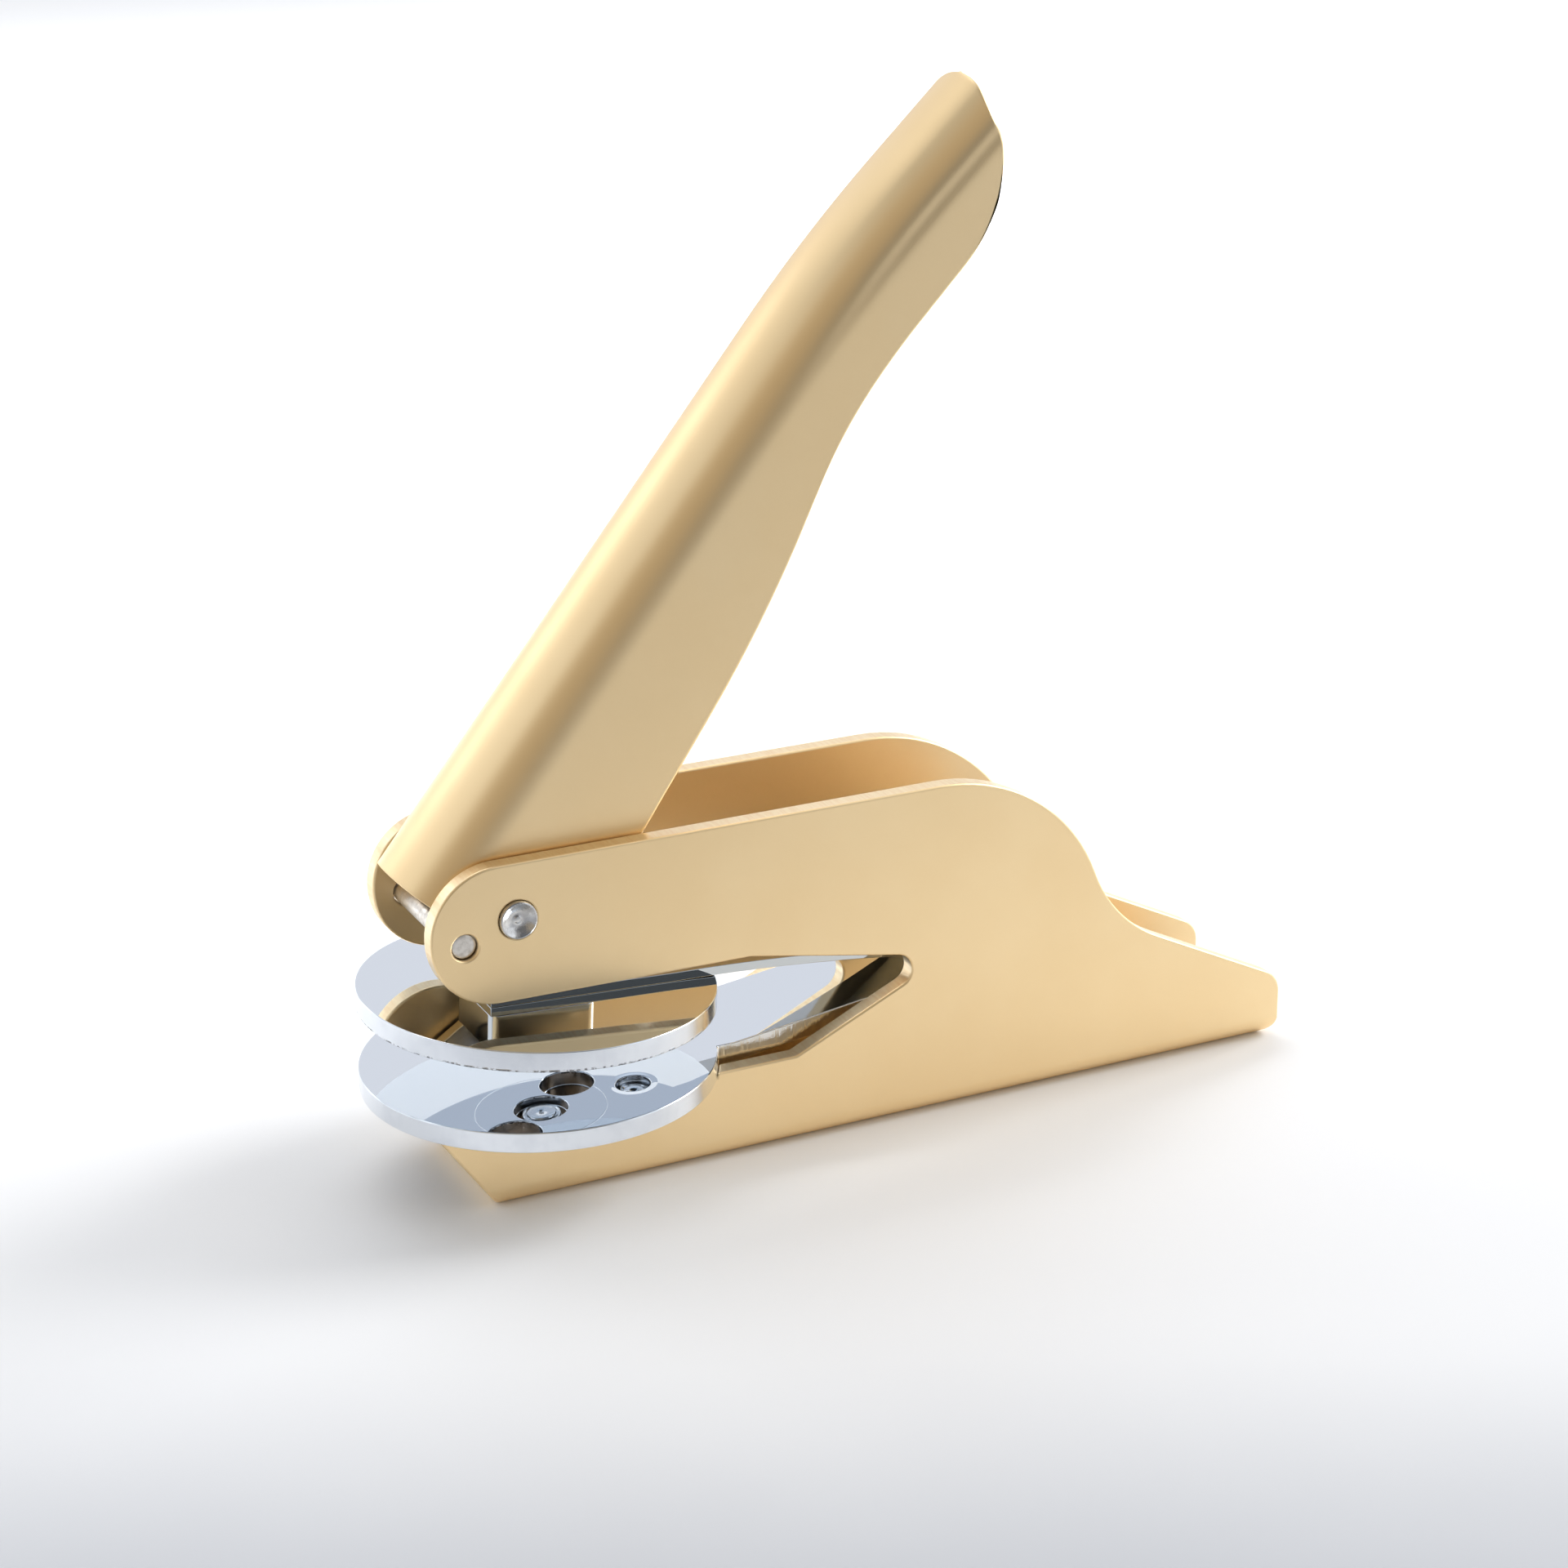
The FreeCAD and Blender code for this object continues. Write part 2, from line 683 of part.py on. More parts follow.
def make_stop_pin():
    """Steel pin between the walls, its ends a little below their outer faces."""
    body = new_body("stop_pin")
    half = HALF_WIDTH - size.stop_pin_recess
    edge = size.stop_pin_radius * 0.1
    turn(body, "stop_pin_outline", [
        Corner(0, -half),
        Corner(size.stop_pin_radius - edge, -half),
        Corner(size.stop_pin_radius, -(half - edge)),
        Corner(size.stop_pin_radius, half - edge),
        Corner(size.stop_pin_radius - edge, half),
        Corner(0, half),
    ])
    lay_across(body, STOP_X, STOP_Z)


def die_plate_holes(body, name):
    """Holes of a die disc: the centre pin and the rivet behind it."""
    through = new_sketch(body, f"{name}_holes", "XY_Plane")
    add_circle(through, 0, 0, size.centre_pin_radius + size.fixed_clearance)
    add_circle(through, RIVET_X, 0, size.disc_rivet_radius + size.fixed_clearance)
    cut(body, through, 4 * size.plate_thickness)


def make_upper_die_disc():
    """Round chrome plate on the die head, with a counterbore and two pockets in its underside."""
    body = new_body("upper_die_disc")
    rim = new_sketch(body, "upper_disc_rim", "XY_Plane")
    add_circle(rim, 0, 0, size.disc_radius)
    pad(body, rim, size.plate_thickness, one_side=True)
    die_plate_holes(body, "upper_disc")
    keys = new_sketch(body, "upper_disc_pockets", "XY_Plane")
    add_circle(keys, size.die_hole_offset_x, size.die_hole_offset_y, size.die_hole_radius)
    add_circle(keys, -size.die_hole_offset_x, -size.die_hole_offset_y, size.die_hole_radius)
    cut(body, keys, 2 * size.die_hole_depth)
    sunk = new_sketch(body, "upper_disc_counterbore", "XY_Plane")
    add_circle(sunk, 0, 0, size.counterbore_radius)
    cut(body, sunk, 2 * size.counterbore_depth)
    on_head(body, as_size(0))


def make_upper_centre_pin():
    """Pin from the counterbore up through the disc and the leaf into the pressure block."""
    body = new_body("upper_centre_pin")
    start = size.dimple_depth
    top = LEAF_TOP + size.pin_depth
    turn(body, "upper_centre_pin_outline", [
        Corner(0, start + size.dimple_depth),
        Corner(size.centre_pin_radius * 0.2, start),
        Corner(size.centre_pin_radius * 0.8, start),
        Corner(size.centre_pin_radius, start + size.dimple_depth),
        Corner(size.centre_pin_radius, top),
        Corner(0, top),
    ])
    on_head(body, as_size(0))


def make_upper_disc_rivet():
    """Rivet that ties the disc to the leaf: dimpled end sunk in the disc, low domed head on the leaf."""
    body = new_body("upper_disc_rivet")
    turn(body, "upper_disc_rivet_outline", [
        Corner(0, size.disc_rivet_recess + size.dimple_depth),
        Corner(size.disc_rivet_radius * 0.6, size.disc_rivet_recess),
        Corner(size.disc_rivet_radius, size.disc_rivet_recess),
        Corner(size.disc_rivet_radius, LEAF_TOP),
        Corner(size.disc_rivet_head_radius, LEAF_TOP),
        Corner(size.disc_rivet_head_radius * 0.6, LEAF_TOP + size.disc_rivet_head),
        Corner(0, LEAF_TOP + size.disc_rivet_head),
    ])
    on_head(body, RIVET_X)


def make_spring_leaf():
    """Steel strip from the die head back to its root, flat on the disc and bowed behind it."""
    body = new_body("spring_leaf")
    half_thick = size.leaf_thickness / 2
    bow_start = RIVET_X + size.disc_rivet_head_radius + size.contact_clearance
    end_chord = size.leaf_hinge - bow_start
    # Slope of the strip at its root: that of the chord and half the turn of the bow.
    fall = (size.plate_thickness + half_thick - HINGE_RISE) / end_chord
    half_turn = end_chord / (2 * size.leaf_bow_radius)
    slope = fall + half_turn
    side = new_sketch(body, "leaf_side", "XZ_Plane")
    add_outline(side, [
        Corner(-size.leaf_front, size.plate_thickness),
        Corner(bow_start, size.plate_thickness, bow=-size.leaf_bow_radius),
        Corner(size.leaf_hinge - half_thick * slope, HINGE_RISE - half_thick),
        Corner(size.leaf_hinge + half_thick * slope, HINGE_RISE + half_thick,
               bow=size.leaf_bow_radius + size.leaf_thickness),
        Corner(bow_start, LEAF_TOP),
        Corner(-size.leaf_front, LEAF_TOP),
    ])
    pad(body, side, 2 * size.leaf_half_width)
    eye = new_sketch(body, "leaf_root", "XZ_Plane")
    add_circle(eye, size.leaf_hinge, HINGE_RISE, half_thick)
    pad(body, eye, 2 * size.leaf_half_width)
    holes = new_sketch(body, "leaf_holes", "XY_Plane")
    add_circle(holes, 0, 0, size.centre_pin_radius + size.fixed_clearance)
    add_circle(holes, RIVET_X, 0, size.disc_rivet_radius + size.fixed_clearance)
    cut(body, holes, 4 * LEAF_TOP)
    on_head(body, as_size(0))


def make_pressure_block():
    """Hard block on the leaf that the cam runs on."""
    body = new_body("pressure_block")
    plan = new_sketch(body, "block_plan", "XY_Plane")
    add_rectangle(plan, -size.block_front, -size.block_half_width, size.block_rear,
                  size.block_half_width, size.block_corner_radius)
    pad(body, plan, 2 * BLOCK_TOP)
    under = new_sketch(body, "block_under", "XZ_Plane")
    add_rectangle(under, -2 * size.block_front, -2 * BLOCK_TOP, 2 * size.block_rear, LEAF_TOP)
    cut(body, under, 4 * size.block_half_width)
    bore = new_sketch(body, "block_bore", "XY_Plane")
    add_circle(bore, 0, 0, size.centre_pin_radius + size.fixed_clearance)
    cut(body, bore, 2 * (LEAF_TOP + size.pin_depth + size.fixed_clearance))
    on_head(body, as_size(0))


def make_lower_die_plate():
    """Round plate and neck in one piece: flat on the frame's seat, rising to a level pad behind."""
    body = new_body("lower_die_plate")
    rear = size.neck_end
    side = new_sketch(body, "lower_plate_side", "XZ_Plane")
    add_outline(side, [
        Corner(-1.2 * size.disc_radius, 0),
        Corner(size.neck_bend, 0),
        Corner(size.neck_pad_start, NECK_RISE),
        Corner(rear, NECK_RISE),
        Corner(rear, NECK_RISE + size.plate_thickness),
        Corner(size.neck_pad_start, NECK_RISE + size.plate_thickness),
        Corner(size.neck_bend, size.plate_thickness),
        Corner(-1.2 * size.disc_radius, size.plate_thickness),
    ])
    pad(body, side, 2.4 * size.disc_radius)

    # Everything outside the disc and the neck is cut away; the neck meets the rim at a corner.
    plan = new_sketch(body, "lower_plate_plan", "XY_Plane")
    neck_root = root(size.disc_radius * size.disc_radius - size.neck_half_width * size.neck_half_width)
    add_rectangle(plan, -2 * size.disc_radius, -2 * size.disc_radius, 2 * rear, 2 * size.disc_radius)
    add_outline(plan, [
        Corner(neck_root, -size.neck_half_width),
        Corner(1.5 * rear, -size.neck_half_width),
        Corner(1.5 * rear, size.neck_half_width),
        Corner(neck_root, size.neck_half_width, bow=size.disc_radius),
        Corner(-size.disc_radius, 0, bow=size.disc_radius),
    ])
    cut(body, plan, 20 * size.plate_thickness)
    die_plate_holes(body, "lower_plate")
    jaw_holes = new_sketch(body, "jaw_rivet_holes", "XY_Plane")
    for along in jaw_rivet_places():
        add_circle(jaw_holes, along, 0, size.jaw_rivet_radius + size.fixed_clearance)
    cut(body, jaw_holes, 20 * size.plate_thickness)
    place(body, as_size(0), size.seat_height)


def make_lower_centre_pin():
    """Pin at the middle of the lower plate, set into the support block."""
    body = new_body("lower_centre_pin")
    top = size.plate_thickness - size.dimple_depth
    turn(body, "lower_centre_pin_outline", [
        Corner(0, -size.pin_depth),
        Corner(size.centre_pin_radius, -size.pin_depth),
        Corner(size.centre_pin_radius, top - size.dimple_depth),
        Corner(size.centre_pin_radius * 0.8, top),
        Corner(size.centre_pin_radius * 0.2, top),
        Corner(0, top - size.dimple_depth),
    ])
    place(body, as_size(0), size.seat_height)


def make_lower_plate_rivet():
    """Rivet that ties the lower plate to the support block."""
    body = new_body("lower_plate_rivet")
    top = size.plate_thickness - size.flush_recess
    turn(body, "lower_plate_rivet_outline", [
        Corner(0, -size.pin_depth),
        Corner(size.disc_rivet_radius, -size.pin_depth),
        Corner(size.disc_rivet_radius, top),
        Corner(size.disc_rivet_radius * 0.6, top),
        Corner(0, top - size.dimple_depth),
    ])
    place(body, RIVET_X, size.seat_height)


def jaw_rivet_places():
    """Where the two jaw rivets stand, behind the root of the leaf."""
    first = size.leaf_hinge + size.jaw_rivet_inset
    return [first, first + size.jaw_rivet_spacing]


def make_clamp_block():
    """Jaw on the neck's pad, notched over the root of the leaf."""
    body = new_body("clamp_block")
    notch = size.leaf_thickness + 2 * size.running_clearance
    side = new_sketch(body, "jaw_side", "XZ_Plane")
    add_outline(side, [
        Corner(size.leaf_hinge + size.jaw_notch_depth, 0),
        Corner(size.neck_end, 0),
        Corner(size.neck_end, size.jaw_thickness),
        Corner(size.leaf_hinge, size.jaw_thickness),
        Corner(size.leaf_hinge, notch),
        Corner(size.leaf_hinge + size.jaw_notch_depth, notch),
    ])
    pad(body, side, 2 * size.jaw_half_width)
    holes = new_sketch(body, "jaw_holes", "XY_Plane")
    for along in jaw_rivet_places():
        add_circle(holes, along, 0, size.jaw_rivet_radius + size.fixed_clearance)
    cut(body, holes, 4 * size.jaw_thickness)
    place(body, as_size(0), PAD_TOP)


def rivet_shape(foot, top):
    """Outline of a jaw rivet: shank, low head on the jaw and a flat head under the neck."""
    head = size.jaw_rivet_head_radius
    return [
        Corner(0, foot - size.jaw_rivet_head),
        Corner(head * 0.6, foot - size.jaw_rivet_head),
        Corner(head, foot),
        Corner(size.jaw_rivet_radius, foot),
        Corner(size.jaw_rivet_radius, top),
        Corner(head, top),
        Corner(head * 0.6, top + size.jaw_rivet_head),
        Corner(0, top + size.jaw_rivet_head),
    ]


def make_clamp_rivets():
    """Two equal rivets through the jaw and the neck."""
    body = new_body("clamp_rivets")
    turn(body, "jaw_rivet_outline", rivet_shape(-size.plate_thickness, size.jaw_thickness))
    repeat_along_x(body, size.jaw_rivet_spacing)
    place(body, jaw_rivet_places()[0], PAD_TOP)


def make_base_screws():
    """Two equal countersunk screws up through the floor into the support block."""
    body = new_body("base_screws")
    head = size.screw_head_radius - size.screw_radius
    turn(body, "screw_outline", [
        Corner(0, size.flush_recess),
        Corner(size.screw_head_radius - size.flush_recess, size.flush_recess),
        Corner(size.screw_radius, head),
        Corner(size.screw_radius, size.sheet_thickness + size.screw_depth),
        Corner(0, size.sheet_thickness + size.screw_depth),
    ])
    repeat_along_x(body, size.screw_spacing)
    place(body, screw_places()[0], 0)


def repeat_along_x(body, spacing):
    """Repeat a turned fastener once along X."""
    pattern = body.newObject("PartDesign::LinearPattern", f"{body.Label}_pair")
    pattern.Originals = [body.Tip]
    axis = next(feature for feature in body.Origin.OriginFeatures if feature.Role == "X_Axis")
    pattern.Direction = (axis, [""])
    pattern.Occurrences = 2
    pattern.setExpression("Length", spacing.text)
    body.Tip = pattern
    document.recompute()


def make_support_block():
    """Block between the floor and the lower plate, which takes the pressing force."""
    body = new_body("support_block")
    half = INNER_HALF_WIDTH - size.support_side_clearance
    section = new_sketch(body, "support_section", "YZ_Plane")
    add_outline(section, [
        Corner(-half, size.seat_height),
        Corner(-half, size.sheet_thickness + size.support_chamfer),
        Corner(size.support_chamfer - half, size.sheet_thickness),
        Corner(half - size.support_chamfer, size.sheet_thickness),
        Corner(half, size.sheet_thickness + size.support_chamfer),
        Corner(half, size.seat_height),
    ])
    pad(body, section, 2 * (size.support_front + size.support_rear))
    ends = new_sketch(body, "support_ends", "XZ_Plane")
    far = 2 * (size.support_front + size.support_rear)
    add_rectangle(ends, -far, -far, far, far)
    add_rectangle(ends, -size.support_front, -0.9 * far, size.support_rear, 0.9 * far)
    cut(body, ends, 2 * size.frame_width)

    screw_holes = new_sketch(body, "support_screw_holes", "XY_Plane")
    for along in screw_places():
        add_circle(screw_holes, along, 0, size.screw_radius + size.fixed_clearance)
    cut(body, screw_holes, 2 * (size.sheet_thickness + size.screw_depth + size.fixed_clearance))

    pin_holes = new_sketch(body, "support_pin_holes", "XY_Plane")
    pin_holes.setExpression("AttachmentOffset.Base.z", size.seat_height.text)
    add_circle(pin_holes, 0, 0, size.centre_pin_radius + size.fixed_clearance)
    add_circle(pin_holes, RIVET_X, 0, size.disc_rivet_radius + size.fixed_clearance)
    cut(body, pin_holes, 2 * (size.pin_depth + size.fixed_clearance))
    place(body, as_size(0), 0)


def check_document():
    """Stop if any object has failed or any piece has no sound shape."""
    for item in document.Objects:
        if "Invalid" in item.State or "Error" in item.State:
            raise RuntimeError(f"{item.Name} has failed: {item.State}")
        if item.TypeId == "Sketcher::SketchObject" and not item.FullyConstrained:
            raise RuntimeError(f"{item.Name} isn't fully dimensioned")
    for body in pieces():
        if body.Shape.isNull() or not body.Shape.isValid():
            raise RuntimeError(f"{body.Label} has no sound shape")


def pieces():
    """The bodies of the document, one for each piece."""
    return [item for item in document.Objects if item.TypeId == "PartDesign::Body"]


def main():
    make_frame()
    make_handle()
    make_handle_cam()
    make_cam_pin()
    make_pivot_rivet()
    make_stop_pin()
    make_upper_die_disc()
    make_upper_centre_pin()
    make_upper_disc_rivet()
    make_spring_leaf()
    make_pressure_block()
    make_lower_die_plate()
    make_lower_centre_pin()
    make_lower_plate_rivet()
    make_clamp_block()
    make_clamp_rivets()
    make_base_screws()
    make_support_block()
    document.recompute()
    check_document()
    os.makedirs("parts", exist_ok=True)
    for body in pieces():
        body.Shape.exportStep(f"parts/{body.Label}.step")


main()
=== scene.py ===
import sys
import logging
import math
from dataclasses import dataclass
from enum import Enum
from typing import Callable, Iterable, Sequence

import bmesh
import bpy
from mathutils import Matrix, Vector


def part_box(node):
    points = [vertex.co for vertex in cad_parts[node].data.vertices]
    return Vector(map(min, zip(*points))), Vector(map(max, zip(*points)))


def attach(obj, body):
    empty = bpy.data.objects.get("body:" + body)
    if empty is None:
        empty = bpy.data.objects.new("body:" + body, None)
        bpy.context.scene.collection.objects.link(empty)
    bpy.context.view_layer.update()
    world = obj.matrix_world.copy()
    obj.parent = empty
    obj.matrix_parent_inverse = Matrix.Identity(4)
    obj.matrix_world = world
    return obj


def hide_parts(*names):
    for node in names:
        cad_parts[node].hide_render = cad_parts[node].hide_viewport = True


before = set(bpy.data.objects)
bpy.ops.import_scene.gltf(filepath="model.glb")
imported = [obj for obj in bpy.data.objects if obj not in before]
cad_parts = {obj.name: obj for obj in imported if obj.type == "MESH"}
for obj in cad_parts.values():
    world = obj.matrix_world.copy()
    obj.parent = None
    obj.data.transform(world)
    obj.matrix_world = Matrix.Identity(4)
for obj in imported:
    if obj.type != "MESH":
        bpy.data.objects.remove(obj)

LOG = logging.getLogger("seal_embosser")
MM = 0.001
SHIFT = -40.55  # where the axis of the dies stands, along the model
HEAD_TILT = math.radians(3.2)
HEAD_UP = (math.sin(HEAD_TILT), 0.0, math.cos(HEAD_TILT))
HEAD_BACK = (math.cos(HEAD_TILT), 0.0, -math.sin(HEAD_TILT))
HEAD_FOOT = ((0.0408 + SHIFT) * MM, 0.0, 21.5561 * MM)  # middle of the head's underside
RIVET_BEHIND = 12.7  # the rivet's distance behind the middle of the head
PIVOT = (-6.3, 37.8)
STRAY = 1e-5  # how far outside its solid's box a rounded vertex may lie
Pair = tuple[float, float]
Triple = tuple[float, float, float]
Colour = Triple


class Body(Enum):
    """The bodies that pieces ride on."""

    BASE = "base"
    LEVER = "lever"
    HEAD = "die_head"


class Slot(Enum):
    """The record's material slots."""

    GOLD = "satin_gold"
    CHROME = "mirror_chrome"
    BRIGHT = "bright_steel"
    SPRING = "spring_steel"
    PLAIN = "plain_steel"


# ---- shader maths


class Value:
    """A shader socket that can stand in arithmetic."""

    def __init__(self, nodes: "Nodes", socket: bpy.types.NodeSocket) -> None:
        """Wraps one output socket."""
        self.nodes = nodes
        self.socket = socket

    def _maths(self, operation: str, first: "Value | float", second: "Value | float") -> "Value":
        """Adds one Math node.

        Args:
            operation: the Math node's operation.
            first: its first input.
            second: its second input.

        Returns:
            The node's output.
        """
        return self.nodes.node("ShaderNodeMath", {"operation": operation}, {0: first, 1: second})

    def __add__(self, other: "Value | float") -> "Value":
        """Sum."""
        return self._maths("ADD", self, other)

    def __radd__(self, other: float) -> "Value":
        """Sum, reflected."""
        return self._maths("ADD", other, self)

    def __sub__(self, other: "Value | float") -> "Value":
        """Difference."""
        return self._maths("SUBTRACT", self, other)

    def __rsub__(self, other: float) -> "Value":
        """Difference, reflected."""
        return self._maths("SUBTRACT", other, self)

    def __mul__(self, other: "Value | float") -> "Value":
        """Product."""
        return self._maths("MULTIPLY", self, other)

    def __rmul__(self, other: float) -> "Value":
        """Product, reflected."""
        return self._maths("MULTIPLY", other, self)


class Nodes:
    """A node tree, built node by node."""

    def __init__(self, tree: bpy.types.NodeTree) -> None:
        """Starts with an empty tree."""
        self.tree = tree
        self.tree.nodes.clear()

    def node(
        self,
        kind: str,
        settings: dict[str, object],
        inputs: dict[int | str, object],
        output: int | str = 0,
    ) -> Value:
        """Adds one node.

        Args:
            kind: the node's type.
            settings: its own settings, set first.
            inputs: values or links for its sockets.
            output: the socket to hand back.

        Returns:
            The output socket.
        """
        made = self.tree.nodes.new(kind)
        for key, value in settings.items():
            setattr(made, key, value)
        for key, value in inputs.items():
            if isinstance(value, Value):
                self.tree.links.new(value.socket, made.inputs[key])
            else:
                made.inputs[key].default_value = value
        return Value(self, made.outputs[output] if len(made.outputs) else None)

    def blend(self, factor: Value | float, first: object, second: object) -> Value:
        """A colour between two colours.

        Args:
            factor: the second colour's share.
            first: the first colour, as a value or a link.
            second: the second colour, as a value or a link.

        Returns:
            The mixed colour.
        """
        return self.node(
            "ShaderNodeMix",
            {"data_type": "RGBA", "blend_type": "MIX"},
            {0: factor, 6: first, 7: second},
            2,
        )

    def limited(self, factor: Value, low: float, high: float) -> Value:
        """Carries a factor from low..high to 0..1, smoothly.

        Args:
            factor: the factor.
            low: where it comes to 0.
            high: where it comes to 1.

        Returns:
            The carried factor.
        """
        return self.node(
            "ShaderNodeMapRange",
            {"interpolation_type": "SMOOTHSTEP"},
            {"Value": factor, "From Min": low, "From Max": high},
            "Result",
        )


@dataclass(frozen=True)
class Mottle:
    """Noise whose values from low to high are spread over 0 to 1."""

    scale: float
    detail: float
    low: float
    high: float


class Shader(Nodes):
    """A material's node tree."""

    def __init__(self, name: str) -> None:
        """Starts an empty material of that name."""
        self.material = bpy.data.materials.new(name)
        self.material.use_nodes = True
        super().__init__(self.material.node_tree)
        self.place = self.node("ShaderNodeTexCoord", {}, {}, "Object")

    def noise(self, scale: float, detail: float = 2.0, at: Value | None = None) -> Value:
        """Noise between 0 and 1.

        Args:
            scale: cells to the metre.
            detail: octaves.
            at: where it is read; by default at the piece's own coordinates.

        Returns:
            The noise.
        """
        return self.node(
            "ShaderNodeTexNoise",
            {"noise_dimensions": "3D"},
            {"Vector": at or self.place, "Scale": scale, "Detail": detail, "Roughness": 0.55},
            "Fac",
        )

    def mottled(self, mottle: Mottle) -> Value:
        """Mottled patches between 0 and 1."""
        return self.limited(self.noise(mottle.scale, mottle.detail), mottle.low, mottle.high)

    def streaks(self, cells: Triple, detail: float = 2.0) -> Value:
        """Noise between 0 and 1, drawn out by axis.

        Args:
            cells: cells to the metre along each axis.
            detail: octaves.

        Returns:
            The noise.
        """
        drawn = self.node("ShaderNodeMapping", {"vector_type": "POINT"}, {"Vector": self.place, "Scale": cells})
        return self.noise(1.0, detail, drawn)

    def along(self, way: Triple, start: Triple) -> Value:
        """Distance along a direction.

        Args:
            way: the direction, of length 1.
            start: the place it is measured from.

        Returns:
            The distance in metres.
        """
        fixed = sum(a * b for a, b in zip(way, start))
        far = self.node("ShaderNodeVectorMath", {"operation": "DOT_PRODUCT"}, {0: self.place, 1: way}, "Value")
        return far - fixed if fixed else far

    def away(self, way: Triple, start: Triple) -> Value:
        """Distance from a line.

        Args:
            way: the line's direction, of length 1.
            start: a place on it.

        Returns:
            The distance in metres.
        """
        centred = self.node("ShaderNodeVectorMath", {"operation": "SUBTRACT"}, {0: self.place, 1: start})
        across = self.node("ShaderNodeVectorMath", {"operation": "CROSS_PRODUCT"}, {0: centred, 1: way})
        return self.node("ShaderNodeVectorMath", {"operation": "LENGTH"}, {0: across}, "Value")

    def bump(self, height: Value, distance: float, under: Value | None = None) -> Value:
        """A bumped normal.

        Args:
            height: the height, between 0 and 1.
            distance: what a height of 1 is, in metres.
            under: the normal that it is laid over.

        Returns:
            The normal.
        """
        inputs: dict[int | str, object] = {"Height": height, "Distance": distance, "Strength": 1.0}
        if under is not None:
            inputs["Normal"] = under
        return self.node("ShaderNodeBump", {}, inputs, "Normal")

    def surface(self, inputs: dict[str, object]) -> bpy.types.Material:
        """Closes the material with a Principled surface.

        Args:
            inputs: values or links for the shader's sockets.

        Returns:
            The finished material.
        """
        made = self.node("ShaderNodeBsdfPrincipled", {}, inputs, "BSDF")
        self.node("ShaderNodeOutputMaterial", {}, {"Surface": made})
        return self.material

    def metal(self, colour: object, roughness: Value, normal: Value) -> bpy.types.Material:
        """Closes the material with a metal surface.

        Args:
            colour: its colour, as a value or a link.
            roughness: its roughness.
            normal: its bumped normal.

        Returns:
            The finished material.
        """
        return self.surface({"Base Color": colour, "Metallic": 1.0, "Roughness": roughness, "Normal": normal})


def opaque(colour: Colour) -> tuple[float, float, float, float]:
    """A colour with full alpha."""
    return (*colour, 1.0)


# ---- finishes


@dataclass(frozen=True)
class SatinGold:
    """Fine bead-blasted and gold anodised sheet."""

    name: str
    colour: Colour
    shade: Colour
    roughness: float
    grain: float
    grain_height: float
    cloud: Mottle = Mottle(60.0, 3.0, 0.3, 0.7)
    speck: Mottle = Mottle(1500.0, 2.0, 0.70, 0.80)
    wave: float = 90.0
    wave_height: float = 3e-5
    cloud_tint: float = 0.5
    grain_tint: float = 0.35
    cloud_rough: float = 0.03
    grain_rough: float = 0.05
    speck_gloss: float = 0.04

    def material(self) -> bpy.types.Material:
        """Builds the material.

        Returns:
            The finished material.
        """
        shader = Shader(self.name)
        cloud = shader.mottled(self.cloud)
        grain = shader.noise(self.grain, 3.0)
        speck = shader.mottled(self.speck)
        shaded = cloud * self.cloud_tint + grain * self.grain_tint
        tint = shader.blend(shaded, opaque(self.colour), opaque(self.shade))
        rough = self.roughness + cloud * self.cloud_rough + grain * self.grain_rough - speck * self.speck_gloss
        normal = shader.bump(grain, self.grain_height)
        normal = shader.bump(shader.noise(self.wave, 1.0), self.wave_height, normal)
        return shader.metal(tint, rough, normal)


@dataclass(frozen=True)
class CutGold:
    """The sheet's cut edge, tumbled and gilded: paler, with fine marks across the thickness."""

    name: str
    colour: Colour
    shade: Colour
    roughness: float
    marks: Triple = (2600.0, 260.0, 2600.0)
    mark_reach: Pair = (0.3, 0.75)
    mark_height: float = 2.2e-5
    grain: float = 5200.0
    grain_rough: float = 0.12
    grain_height: float = 6e-6

    def material(self) -> bpy.types.Material:
        """Builds the material.

        Returns:
            The finished material.
        """
        shader = Shader(self.name)
        marks = shader.streaks(self.marks)
        grain = shader.noise(self.grain, 3.0)
        tint = shader.blend(shader.limited(marks, *self.mark_reach), opaque(self.colour), opaque(self.shade))
        rough = self.roughness + grain * self.grain_rough
        normal = shader.bump(marks, self.mark_height, shader.bump(grain, self.grain_height))
        return shader.metal(tint, rough, normal)


@dataclass(frozen=True)
class Chrome:
    """Bright plate: a near mirror with slow waves and a few hairlines."""

    name: str
    colour: Colour
    roughness: float
    wave_height: float
    wave: float = 70.0
    haze: Mottle = Mottle(120.0, 4.0, 0.45, 0.8)
    haze_rough: float = 0.03
    hairs: Triple = (5200.0, 170.0, 300.0)
    hair_reach: Pair = (0.74, 0.8)
    hair_rough: float = 0.08

    def material(self) -> bpy.types.Material:
        """Builds the material.

        Returns:
            The finished material.
        """
        shader = Shader(self.name)
        haze = shader.mottled(self.haze)
        hairs = shader.limited(shader.streaks(self.hairs), *self.hair_reach)
        rough = self.roughness + haze * self.haze_rough + hairs * self.hair_rough
        normal = shader.bump(shader.noise(self.wave, 1.0), self.wave_height)
        return shader.metal(opaque(self.colour), rough, normal)


